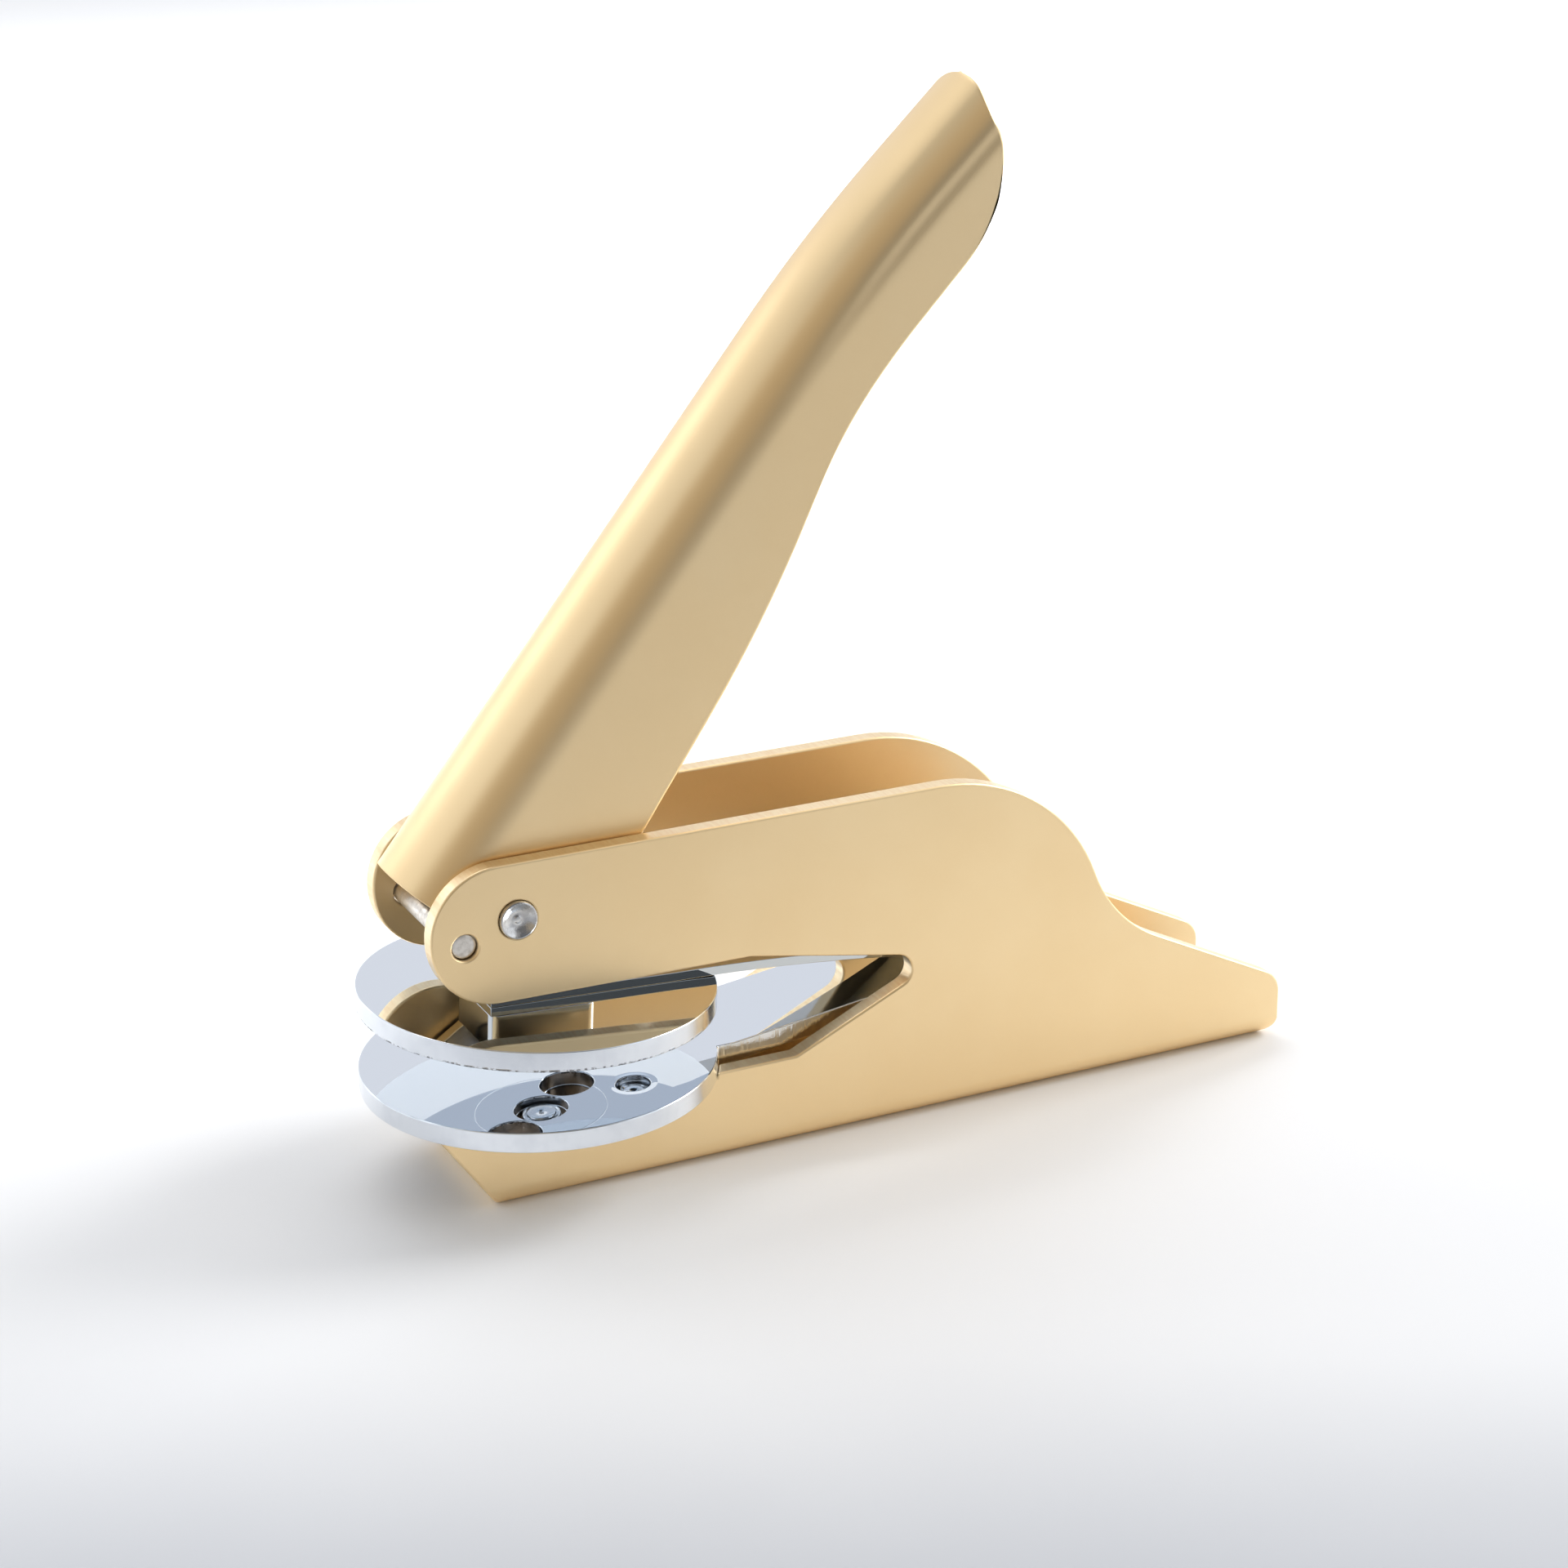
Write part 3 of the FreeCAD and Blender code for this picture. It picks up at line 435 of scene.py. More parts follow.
@dataclass(frozen=True)
class DieFace:
    """Bright plate under the die head: a scribed circle round its middle and a dish round the rivet.

    The floors of its two key pockets are dull and brown.
    """

    name: str
    colour: Colour
    roughness: float
    scribed: float = 8.4
    dish_inner: float = 2.2
    dish_outer: float = 3.3
    pocket_start: float = 0.6
    pocket_floor: float = 1.2
    pocket_rough: float = 0.16
    line_edge: Pair = (0.02, 0.09)
    line_rough: float = 0.25
    line_height: float = -2e-5
    dish_height: float = 1.0e-4
    brown: Colour = (0.34, 0.22, 0.12)
    dark_brown: Colour = (0.15, 0.10, 0.055)
    stain: Mottle = Mottle(500.0, 3.0, 0.3, 0.7)

    def material(self) -> bpy.types.Material:
        """Builds the material.

        Returns:
            The finished material.
        """
        shader = Shader(self.name)
        round_pin = shader.away(HEAD_UP, HEAD_FOOT)
        off_line = shader.node("ShaderNodeMath", {"operation": "ABSOLUTE"}, {0: round_pin - self.scribed * MM})
        deep = shader.limited(shader.along(HEAD_UP, HEAD_FOOT), self.pocket_start * MM, self.pocket_floor * MM)
        line = (1.0 - shader.limited(off_line, self.line_edge[0] * MM, self.line_edge[1] * MM)) * (1.0 - deep)
        behind = tuple(foot + RIVET_BEHIND * MM * step for foot, step in zip(HEAD_FOOT, HEAD_BACK))
        dish = shader.limited(shader.away(HEAD_UP, behind), self.dish_inner * MM, self.dish_outer * MM)
        brown = shader.blend(shader.mottled(self.stain), opaque(self.brown), opaque(self.dark_brown))
        tint = shader.blend(deep, opaque(self.colour), brown)
        rough = self.roughness + line * self.line_rough + deep * self.pocket_rough
        normal = shader.bump(line, self.line_height, shader.bump(dish, self.dish_height))
        return shader.metal(tint, rough, normal)


@dataclass(frozen=True)
class PlatedEdge:
    """Sheared edge under bright plate: faint upright marks, and on the die head a burr along its lower arris."""

    name: str
    colour: Colour
    shade: Colour
    roughness: float
    mark_height: float = 1.6e-5
    grain_height: float = 5e-6
    burr: bool = False
    marks: Triple = (1500.0, 1500.0, 90.0)
    mark_tint: float = 0.3
    mark_rough: float = 0.10
    mottle: Mottle = Mottle(420.0, 3.0, 0.4, 0.75)
    mottle_tint: float = 0.6
    grain: float = 2600.0
    burr_reach: Pair = (0.16, 0.30)
    burr_wander: float = 0.10
    burr_patches: Mottle = Mottle(1500.0, 3.0, 0.46, 0.60)
    burr_rough: float = 0.3
    burr_height: float = 6e-5
    burr_colour: Colour = (0.26, 0.26, 0.27)

    def material(self) -> bpy.types.Material:
        """Builds the material.

        Returns:
            The finished material.
        """
        shader = Shader(self.name)
        upright = shader.streaks(self.marks, 3.0)
        mottle = shader.mottled(self.mottle)
        shaded = mottle * self.mottle_tint + upright * self.mark_tint
        tint = shader.blend(shaded, opaque(self.colour), opaque(self.shade))
        rough = self.roughness + upright * self.mark_rough
        grain = shader.bump(shader.noise(self.grain, 2.0), self.grain_height)
        normal = shader.bump(upright, self.mark_height, grain)
        if self.burr:
            height = shader.along(HEAD_UP, HEAD_FOOT) + (mottle - 0.5) * (self.burr_wander * MM)
            low = 1.0 - shader.limited(height, self.burr_reach[0] * MM, self.burr_reach[1] * MM)
            torn = low * shader.mottled(self.burr_patches)
            tint = shader.blend(torn, tint, opaque(self.burr_colour))
            rough = rough + torn * self.burr_rough
            normal = shader.bump(torn, self.burr_height, normal)
        return shader.metal(tint, rough, normal)


@dataclass(frozen=True)
class TurnedSteel:
    """Bare steel with a fine grain and a mottled, worn face."""

    name: str
    colour: Colour
    shade: Colour
    roughness: float
    mottle: float = 900.0
    worn: Pair = (0.35, 0.72)
    worn_rough: float = 0.18
    mottle_height: float = 1.2e-5
    grain: float = 7000.0
    grain_height: float = 5e-6

    def material(self) -> bpy.types.Material:
        """Builds the material.

        Returns:
            The finished material.
        """
        shader = Shader(self.name)
        patches = shader.limited(shader.noise(self.mottle, 4.0), *self.worn)
        grain = shader.noise(self.grain, 2.0)
        tint = shader.blend(patches, opaque(self.colour), opaque(self.shade))
        rough = self.roughness + patches * self.worn_rough
        normal = shader.bump(grain, self.grain_height, shader.bump(patches, self.mottle_height))
        return shader.metal(tint, rough, normal)


@dataclass(frozen=True)
class Table:
    """Matt pale table top, with painted shade that darkens it towards its front."""

    name: str
    colour: Colour
    # painted shade: the darker colour painted on the table's front
    front: Colour
    roughness: float
    way: Triple = (0.435, 0.900, 0.0)
    painted_shade_full_at: float = -0.128
    painted_shade_gone_at: float = -0.058
    wander: float = 0.004
    cloud: Mottle = Mottle(14.0, 3.0, 0.3, 0.7)
    grain: float = 1800.0
    grain_height: float = 8e-6

    def material(self) -> bpy.types.Material:
        """Builds the material.

        Returns:
            The finished material.
        """
        shader = Shader(self.name)
        cloud = shader.mottled(self.cloud)
        depth = shader.along(self.way, (0.0, 0.0, 0.0))
        # painted shade: the table's colour goes darker towards its front and fades out further back
        pale = shader.limited(depth + cloud * self.wander, self.painted_shade_full_at, self.painted_shade_gone_at)
        tint = shader.blend(pale, opaque(self.front), opaque(self.colour))
        grain = shader.bump(shader.noise(self.grain, 2.0), self.grain_height)
        return shader.surface({"Base Color": tint, "Roughness": self.roughness, "Normal": grain})


GOLD = SatinGold("gold_satin", (0.98, 0.757, 0.44), (0.95, 0.717, 0.40), 0.36, 5200.0, 5e-6)
CUT_GOLD = CutGold("gold_cut_edge", (0.98, 0.80, 0.52), (0.92, 0.70, 0.42), 0.30)
MIRROR = Chrome("chrome_face", (0.745, 0.785, 0.83), 0.02, 4e-6)
PLATE_EDGE = PlatedEdge("chrome_sheared_edge", (0.82, 0.855, 0.90), (0.72, 0.755, 0.81), 0.14)
BURRED_EDGE = PlatedEdge("chrome_burred_edge", (0.82, 0.855, 0.90), (0.72, 0.755, 0.81), 0.14, burr=True)
DIE_FACE = DieFace("chrome_die_face", (0.745, 0.785, 0.83), 0.02)
SHEARED = PlatedEdge("chrome_neck_edge", (0.88, 0.87, 0.84), (0.70, 0.66, 0.58), 0.10, 1.3e-4, 1.2e-5)
STEEL = TurnedSteel("steel_bright", (0.66, 0.655, 0.64), (0.50, 0.49, 0.48), 0.15)
PIN_STEEL = TurnedSteel("steel_pin", (0.78, 0.74, 0.68), (0.60, 0.56, 0.50), 0.30, 1400.0)
SPRING = Chrome("spring_face", (0.33, 0.345, 0.36), 0.10, 2.4e-5)
SPRING_EDGE = Chrome("spring_edge", (0.62, 0.645, 0.645), 0.05, 2.4e-5)
BLOCK = Chrome("block_ground", (0.68, 0.68, 0.66), 0.09, 1.6e-5)
BRIGHT_PIN = TurnedSteel("pin_polished", (0.74, 0.78, 0.82), (0.66, 0.70, 0.74), 0.06, 300.0)
PLAIN = TurnedSteel("steel_plain", (0.42, 0.415, 0.41), (0.34, 0.335, 0.33), 0.32, 260.0)
# the second colour is painted shade on the table's front
TABLE = Table("table_top", (0.94, 0.955, 0.975), (0.59, 0.615, 0.66), 0.55)


class Palette:
    """Each finish's material, built once."""

    def __init__(self) -> None:
        """Starts with nothing built."""
        self.made: dict[str, bpy.types.Material] = {}

    def of(self, finish: object) -> bpy.types.Material:
        """The material of a finish, built at its first use.

        Args:
            finish: the finish.

        Returns:
            Its material.
        """
        if finish.name not in self.made:
            self.made[finish.name] = finish.material()
        return self.made[finish.name]


PALETTE = Palette()


# ---- mesh work


def softened(node: str, rounding: float, segments: int, corner: float = 30.0) -> bmesh.types.BMesh:
    """A merged copy of a solid whose sharp edges are rounded.

    Args:
        node: the solid's name.
        rounding: the edge radius in mm.
        segments: facets round each edge.
        corner: edges sharper than this many degrees are rounded.

    Returns:
        The new mesh.
    """
    work = bmesh.new()
    work.from_mesh(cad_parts[node].data)
    bmesh.ops.remove_doubles(work, verts=work.verts, dist=2e-6)
    bmesh.ops.dissolve_limit(work, angle_limit=math.radians(0.4), verts=work.verts, edges=work.edges)
    round_edges(work, sharper(work, corner), rounding, segments)
    pull_in(work, node)
    return work


def sharper(work: bmesh.types.BMesh, corner: float) -> list[bmesh.types.BMEdge]:
    """The edges between two faces that turn by more than that many degrees."""
    return [edge for edge in work.edges if edge.is_manifold and edge.calc_face_angle(0.0) > math.radians(corner)]


def round_edges(
    work: bmesh.types.BMesh, edges: Sequence[bmesh.types.BMEdge], rounding: float, segments: int
) -> None:
    """Rounds edges.

    Args:
        work: the mesh.
        edges: the edges.
        rounding: the edge radius in mm.
        segments: facets round each edge.
    """
    bmesh.ops.bevel(
        work,
        geom=edges,
        offset=rounding * MM,
        offset_type="OFFSET",
        segments=segments,
        profile=0.5,
        affect="EDGES",
        clamp_overlap=False,
        material=-1,
    )


def pull_in(work: bmesh.types.BMesh, node: str) -> None:
    """Merges each vertex that rounding threw out of the solid's box into the nearest vertex beside it.

    Args:
        work: the rounded mesh.
        node: the solid's name.
    """
    corners = [vertex.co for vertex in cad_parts[node].data.vertices]
    low = [min(place[axis] for place in corners) - STRAY for axis in range(3)]
    high = [max(place[axis] for place in corners) + STRAY for axis in range(3)]
    for vertex in work.verts[:]:
        if vertex.is_valid and any(not low[axis] <= vertex.co[axis] <= high[axis] for axis in range(3)):
            around = [edge.other_vert(vertex) for edge in vertex.link_edges]
            beside = min(around, key=lambda other: (other.co - vertex.co).length)
            bmesh.ops.pointmerge(work, verts=[vertex, beside], merge_co=beside.co.copy())


def turned(outline: Sequence[Pair], steps: int) -> bmesh.types.BMesh:
    """Turns an outline of radius and height, in mm, about Z.

    Args:
        outline: radius and height of each point.
        steps: facets round the axis.

    Returns:
        The new mesh, with its axis on Z.
    """
    work = bmesh.new()
    points = [work.verts.new((radius * MM, 0.0, height * MM)) for radius, height in outline]
    edges = [work.edges.new(pair) for pair in zip(points, points[1:])]
    bmesh.ops.spin(
        work,
        geom=points + edges,
        cent=(0.0, 0.0, 0.0),
        axis=(0.0, 0.0, 1.0),
        angle=math.tau,
        steps=steps,
        use_merge=True,
    )
    bmesh.ops.remove_doubles(work, verts=work.verts, dist=1e-6)
    bmesh.ops.dissolve_degenerate(work, dist=1e-7, edges=work.edges)
    bmesh.ops.recalc_face_normals(work, faces=work.faces)
    return work


def make_piece(
    work: bmesh.types.BMesh,
    name: str,
    body: Body,
    finishes: Sequence[object],
    nodes: Iterable[str] = (),
    corner: float = 38.0,
) -> bpy.types.Object:
    """Closes a mesh as a named piece on a body.

    Args:
        work: the mesh, in place; it is freed.
        name: the piece's name.
        body: the body it rides on.
        finishes: its finishes, in the order of its faces' material numbers.
        nodes: the solids that it stands for.
        corner: edges sharper than this many degrees stay sharp.

    Returns:
        The new object.
    """
    for face in work.faces:
        face.smooth = True
    for edge in work.edges:
        edge.smooth = edge.calc_face_angle(0.0) < math.radians(corner) if edge.is_manifold else True
    mesh = bpy.data.meshes.new(name)
    work.to_mesh(mesh)
    work.free()
    piece = bpy.data.objects.new(name, mesh)
    bpy.context.scene.collection.objects.link(piece)
    for finish in finishes:
        mesh.materials.append(PALETTE.of(finish))
    weighted = piece.modifiers.new("even_normals", "WEIGHTED_NORMAL")
    weighted.mode = "FACE_AREA"
    weighted.weight = 80
    weighted.keep_sharp = True
    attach(piece, body.value)
    if nodes:
        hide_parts(*nodes)
    LOG.info("%s: %d faces on %s", name, len(mesh.polygons), body.value)
    return piece


def paint(work: bmesh.types.BMesh, number: int, test: Callable[[Vector, Vector], bool]) -> None:
    """Gives a material number to the faces that pass a test.

    Args:
        work: the mesh.
        number: the material number.
        test: takes a face's middle and its normal.
    """
    for face in work.faces:
        if test(face.calc_center_median(), face.normal):
            face.material_index = number


def dress(node: str, finish: object) -> None:
    """Puts a finish on a solid that is shown as it is.

    Args:
        node: the solid's name.
        finish: the finish.
    """
    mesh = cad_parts[node].data
    for number in range(len(mesh.materials)):
        mesh.materials[number] = PALETTE.of(finish)
    LOG.info("%s: dressed in %s", node, finish.name)


# ---- frame


@dataclass
class FoldedFrame:
    """The folded channel with its two C-shaped walls."""

    rounding: float = 0.32
    segments: int = 4
    inner_half_width: float = 9.0
    fold_height: float = 3.0
    sideways: float = 0.4  # a cut edge's normal leans less than this to the side
    level: float = 0.8
    endways: float = 0.2

    def build(self) -> None:
        """Makes the frame, with paler cut edges."""
        work = softened("frame", self.rounding, self.segments)
        work.normal_update()
        wall = self.inner_half_width * MM
        fold = self.fold_height * MM
        paint(
            work,
            1,
            lambda middle, normal: abs(normal.y) < self.sideways
            and abs(middle.y) > wall
            and (middle.z > fold or abs(normal.z) < self.level)
            and not (middle.z < fold and abs(normal.x) < self.endways),
        )
        make_piece(work, "folded_frame", Body.BASE, [GOLD, CUT_GOLD], ["frame"])


# ---- lever


@dataclass
class Lever:
    """The channel lever: a cambered crown, two cheeks and a rounded tip."""

    pivot: Pair = PIVOT
    lean: float = 50.6
    half_width: float = 8.6
    sheet: float = 2.0
    corner: float = 6.0
    camber: float = 13.6
    crown: float = 12.36
    front: float = -4.61
    reach: float = 114.45
    tip_drop: float = 3.5
    bend: float = 87.75
    bend_radius: float = 200.0
    end_radius: float = 10.6
    edge: float = 0.32
    edge_segments: int = 3
    edge_corner: float = 50.0
    tip_corner: Pair = (103.6, -0.9)
    past_tip: float = 5.0
    tip_blend: float = 0.3
    tip_lift: float = 0.1
    crease_start: float = 66.0
    crease_run: float = 34.0
    crease_below: float = 5.4
    crease_depth: float = 0.22
    crease_width: float = 0.9
    stations: int = 190
    across: int = 104
    arc_steps: int = 16
    tip_steps: int = 24
    on_crown: float = 40.0
    outline: tuple[Triple, ...] = (
        (-4.61, -9.4, 5.0),
        (15.75, -9.4, 0.0),
        (46.0, -6.95, 165.0),
        (70.3, -1.05, 60.0),
        (82.1, -1.05, 100.0),
        (104.06, -2.98, 18.0),
        (114.45, 8.86, 0.0),
    )

    def lower_edge(self) -> list[Pair]:
        """The cheeks' free edge.

        Returns:
            Points along it from the front to the tip, as distance along and height.
        """
        points: list[Pair] = [(self.front, self.crown)]
        corners = [Vector(place[:2]) for place in self.outline]
        for number, corner in enumerate(corners):
            radius = self.outline[number][2]
            if radius == 0.0:
                points.append(tuple(corner))
                continue
            before = (Vector(points[0]) if number == 0 else corners[number - 1]) - corner
            after = corners[number + 1] - corner
            before.normalize()
            after.normalize()
            half = before.angle(after) / 2
            centre = corner + (before + after).normalized() * (radius / math.sin(half))
            setback = radius / math.tan(half)
            spoke = corner + before * setback - centre
            last = corner + after * setback - centre
            turn = math.atan2(spoke.cross(last), spoke.dot(last))
            for step in range(self.arc_steps + 1):
                angle = turn * step / self.arc_steps
                points.append(tuple(centre + Matrix.Rotation(angle, 2) @ spoke))
        return points[1:]

    def crown_height(self, along: float) -> float:
        """Height of the crown's outer face.

        Args:
            along: distance along the lever.

        Returns:
            The height above the pivot line.
        """
        slope = self.tip_drop / (self.reach - self.bend)
        half = self.bend_radius * math.tan(math.atan(slope) / 2)
        if along <= self.bend - half:
            return self.crown
        if along >= self.bend + half * math.cos(math.atan(slope)):
            return self.crown - (along - self.bend) * slope
        run = along - (self.bend - half)
        return self.crown - self.bend_radius + math.sqrt(self.bend_radius**2 - run**2)

    @property
    def turn(self) -> float:
        """Angle from the crown's middle at which its camber runs into the corner."""
        return math.asin((self.half_width - self.corner) / (self.camber - self.corner))

    @property
    def cheek_drop(self) -> float:
        """How far below the crown's middle the flat cheek starts."""
        return self.camber - (self.camber - self.corner) * math.cos(self.turn)

    def girth(self, along: float, height: float) -> float:
        """Distance round the section from the crown's middle down to a height.

        Args:
            along: distance along the lever.
            height: the height above the pivot line.

        Returns:
            The distance round.
        """
        turn = self.turn
        below = self.crown_height(along) - height
        round_crown = self.camber * turn
        round_corner = self.corner * (math.pi / 2 - turn)
        if below >= self.cheek_drop:
            return round_crown + round_corner + below - self.cheek_drop
        if below >= self.camber * (1 - math.cos(turn)):
            return round_crown + self.corner * (math.acos((self.cheek_drop - below) / self.corner) - turn)
        return self.camber * math.acos(1 - max(below, 0.0) / self.camber)

    def section(self, along: float, round_it: float) -> Pair:
        """A point of the section.

        Args:
            along: distance along the lever.
            round_it: distance round the section from the crown's middle, less than 0 on the far side.

        Returns:
            Its distance across and its height.
        """
        turn = self.turn
        top = self.crown_height(along)
        far = abs(round_it)
        round_crown = self.camber * turn
        angle = turn + (far - round_crown) / self.corner
        if far <= round_crown:
            across = self.camber * math.sin(far / self.camber)
            height = top - self.camber * (1 - math.cos(far / self.camber))
        elif angle <= math.pi / 2:
            across = self.half_width - self.corner * (1 - math.sin(angle))
            height = top - self.cheek_drop + self.corner * math.cos(angle)
        else:
            across = self.half_width
            height = top - self.cheek_drop - (angle - math.pi / 2) * self.corner
        across -= self.crease(along, top - height)
        return math.copysign(across, round_it), height

    def crease(self, along: float, below: float) -> float:
        """Depth of the crease where the rounded crown runs out into the flat flange near the tip.

        Args:
            along: distance along the lever.
            below: distance below the crown's outer face.

        Returns:
            The depth, in mm.
        """
        share = min(max((along - self.crease_start) / self.crease_run, 0.0), 1.0)
        grown = share * share * (3 - 2 * share)
        return self.crease_depth * grown * math.exp(-(((below - self.crease_below) / self.crease_width) ** 2))

    def tip_end(self, round_it: float, slant: Sequence[Pair]) -> float:
        """How far along the tip ends at that distance round the section.

        Args:
            round_it: distance round the section from the crown's middle.
            slant: the cheek's last run to the tip, as distance along and round.

        Returns:
            The distance along the lever.
        """
        far = abs(round_it)
        side = slant[-1][0] + self.past_tip
        for (u0, g0), (u1, g1) in zip(slant, slant[1:]):
            if g1 <= far <= g0:
                side = u0 + (u1 - u0) * (g0 - far) / max(g0 - g1, 1e-9)
                break
        across = self.section(min(side, self.reach), round_it)[0]
        plan = self.reach - self.end_radius + math.sqrt(self.end_radius**2 - across**2)
        gap = plan - side
        return (plan + side - math.sqrt(gap * gap + self.tip_blend)) / 2 + self.tip_lift

    @staticmethod
    def spaced(points: Sequence[Pair], share: float) -> Pair:
        """The point at a share of a line's length.

        Args:
            points: the line.
            share: the share, from 0 to 1.

        Returns:
            The point.
        """
        steps = [math.dist(a, b) for a, b in zip(points, points[1:])]
        wanted = share * sum(steps)
        for (a, b), step in zip(zip(points, points[1:]), steps):
            if wanted <= step or (a, b) == (points[-2], points[-1]):
                part = min(wanted / step, 1.0) if step else 0.0
                return a[0] + (b[0] - a[0]) * part, a[1] + (b[1] - a[1]) * part
            wanted -= step
        return points[-1]

    def place(self, along: float, across: float, height: float) -> Vector:
        """Carries a place from the lever's own frame, in mm, to the model's, in metres.

        Args:
            along: distance along the lever.
            across: distance across it.
            height: height above the pivot line.

        Returns:
            The place.
        """
        lean = math.radians(self.lean)
        return Vector(
            (
                (self.pivot[0] + SHIFT + along * math.cos(lean) - height * math.sin(lean)) * MM,
                across * MM,
                (self.pivot[1] + along * math.sin(lean) + height * math.cos(lean)) * MM,
            )
        )

    def sheet_points(self) -> dict[tuple[int, int], Vector]:
        """Spreads the sheet's grid between its four edges.

        Returns:
            The place of each crossing, by row and column.
        """
        edge = self.lower_edge()
        split = min(range(len(edge)), key=lambda number: math.dist(edge[number], self.tip_corner))
        low = edge[: split + 1]
        slant = [(along, self.girth(along, height)) for along, height in edge[split:-1]]
        last_run = [self.spaced(edge[-2:], step / self.tip_steps) for step in range(self.tip_steps + 1)]
        slant += [(along, self.girth(along, height)) for along, height in last_run]
        bottom = [self.spaced(low, step / self.stations) for step in range(self.stations + 1)]
        bottom = [(along, self.girth(along, height)) for along, height in bottom]
        first, last = bottom[0][1], bottom[-1][1]
        found = {}
        for column in range(self.across + 1):
            side = 2 * column / self.across - 1
            part = (side + 1) / 2
            front = (self.front, side * first)
            end = (self.tip_end(side * last, slant), side * last)
            if column in (0, self.across):
                end = (bottom[-1][0], side * last)
            for row in range(self.stations + 1):
                share = row / self.stations
                along_edge, girth = bottom[row]
                corner_along = (1 - share) * bottom[0][0] + share * bottom[-1][0]
                corner_girth = (1 - share) * first + share * last
                along = (1 - share) * front[0] + share * end[0] + along_edge - corner_along
                round_it = (1 - share) * front[1] + share * end[1] + side * (girth - corner_girth)
                across, height = self.section(along, round_it)
                found[row, column] = self.place(along, across, height)
        return found

    def build(self) -> None:
        """Makes the lever."""
        work = bmesh.new()
        bmesh.ops.create_grid(work, x_segments=self.stations, y_segments=self.across, size=0.5)
        places = self.sheet_points()
        for vertex in work.verts:
            row = round((vertex.co.x + 0.5) * self.stations)
            column = round((vertex.co.y + 0.5) * self.across)
            vertex.co = places[row, column]
        bmesh.ops.recalc_face_normals(work, faces=work.faces)
        crown = self.place(self.on_crown, 0.0, self.crown)
        middle = min(work.faces, key=lambda face: (face.calc_center_median() - crown).length)
        outward = self.place(0.0, 0.0, 1.0) - self.place(0.0, 0.0, 0.0)
        if middle.normal.dot(outward) < 0:
            bmesh.ops.reverse_faces(work, faces=work.faces)
        work.normal_update()
        bmesh.ops.solidify(work, geom=work.faces[:], thickness=self.sheet * MM)
        work.normal_update()
        round_edges(work, sharper(work, self.edge_corner), self.edge, self.edge_segments)
        make_piece(work, "channel_lever", Body.LEVER, [GOLD, CUT_GOLD], ["handle"])


# ---- pins and rivets


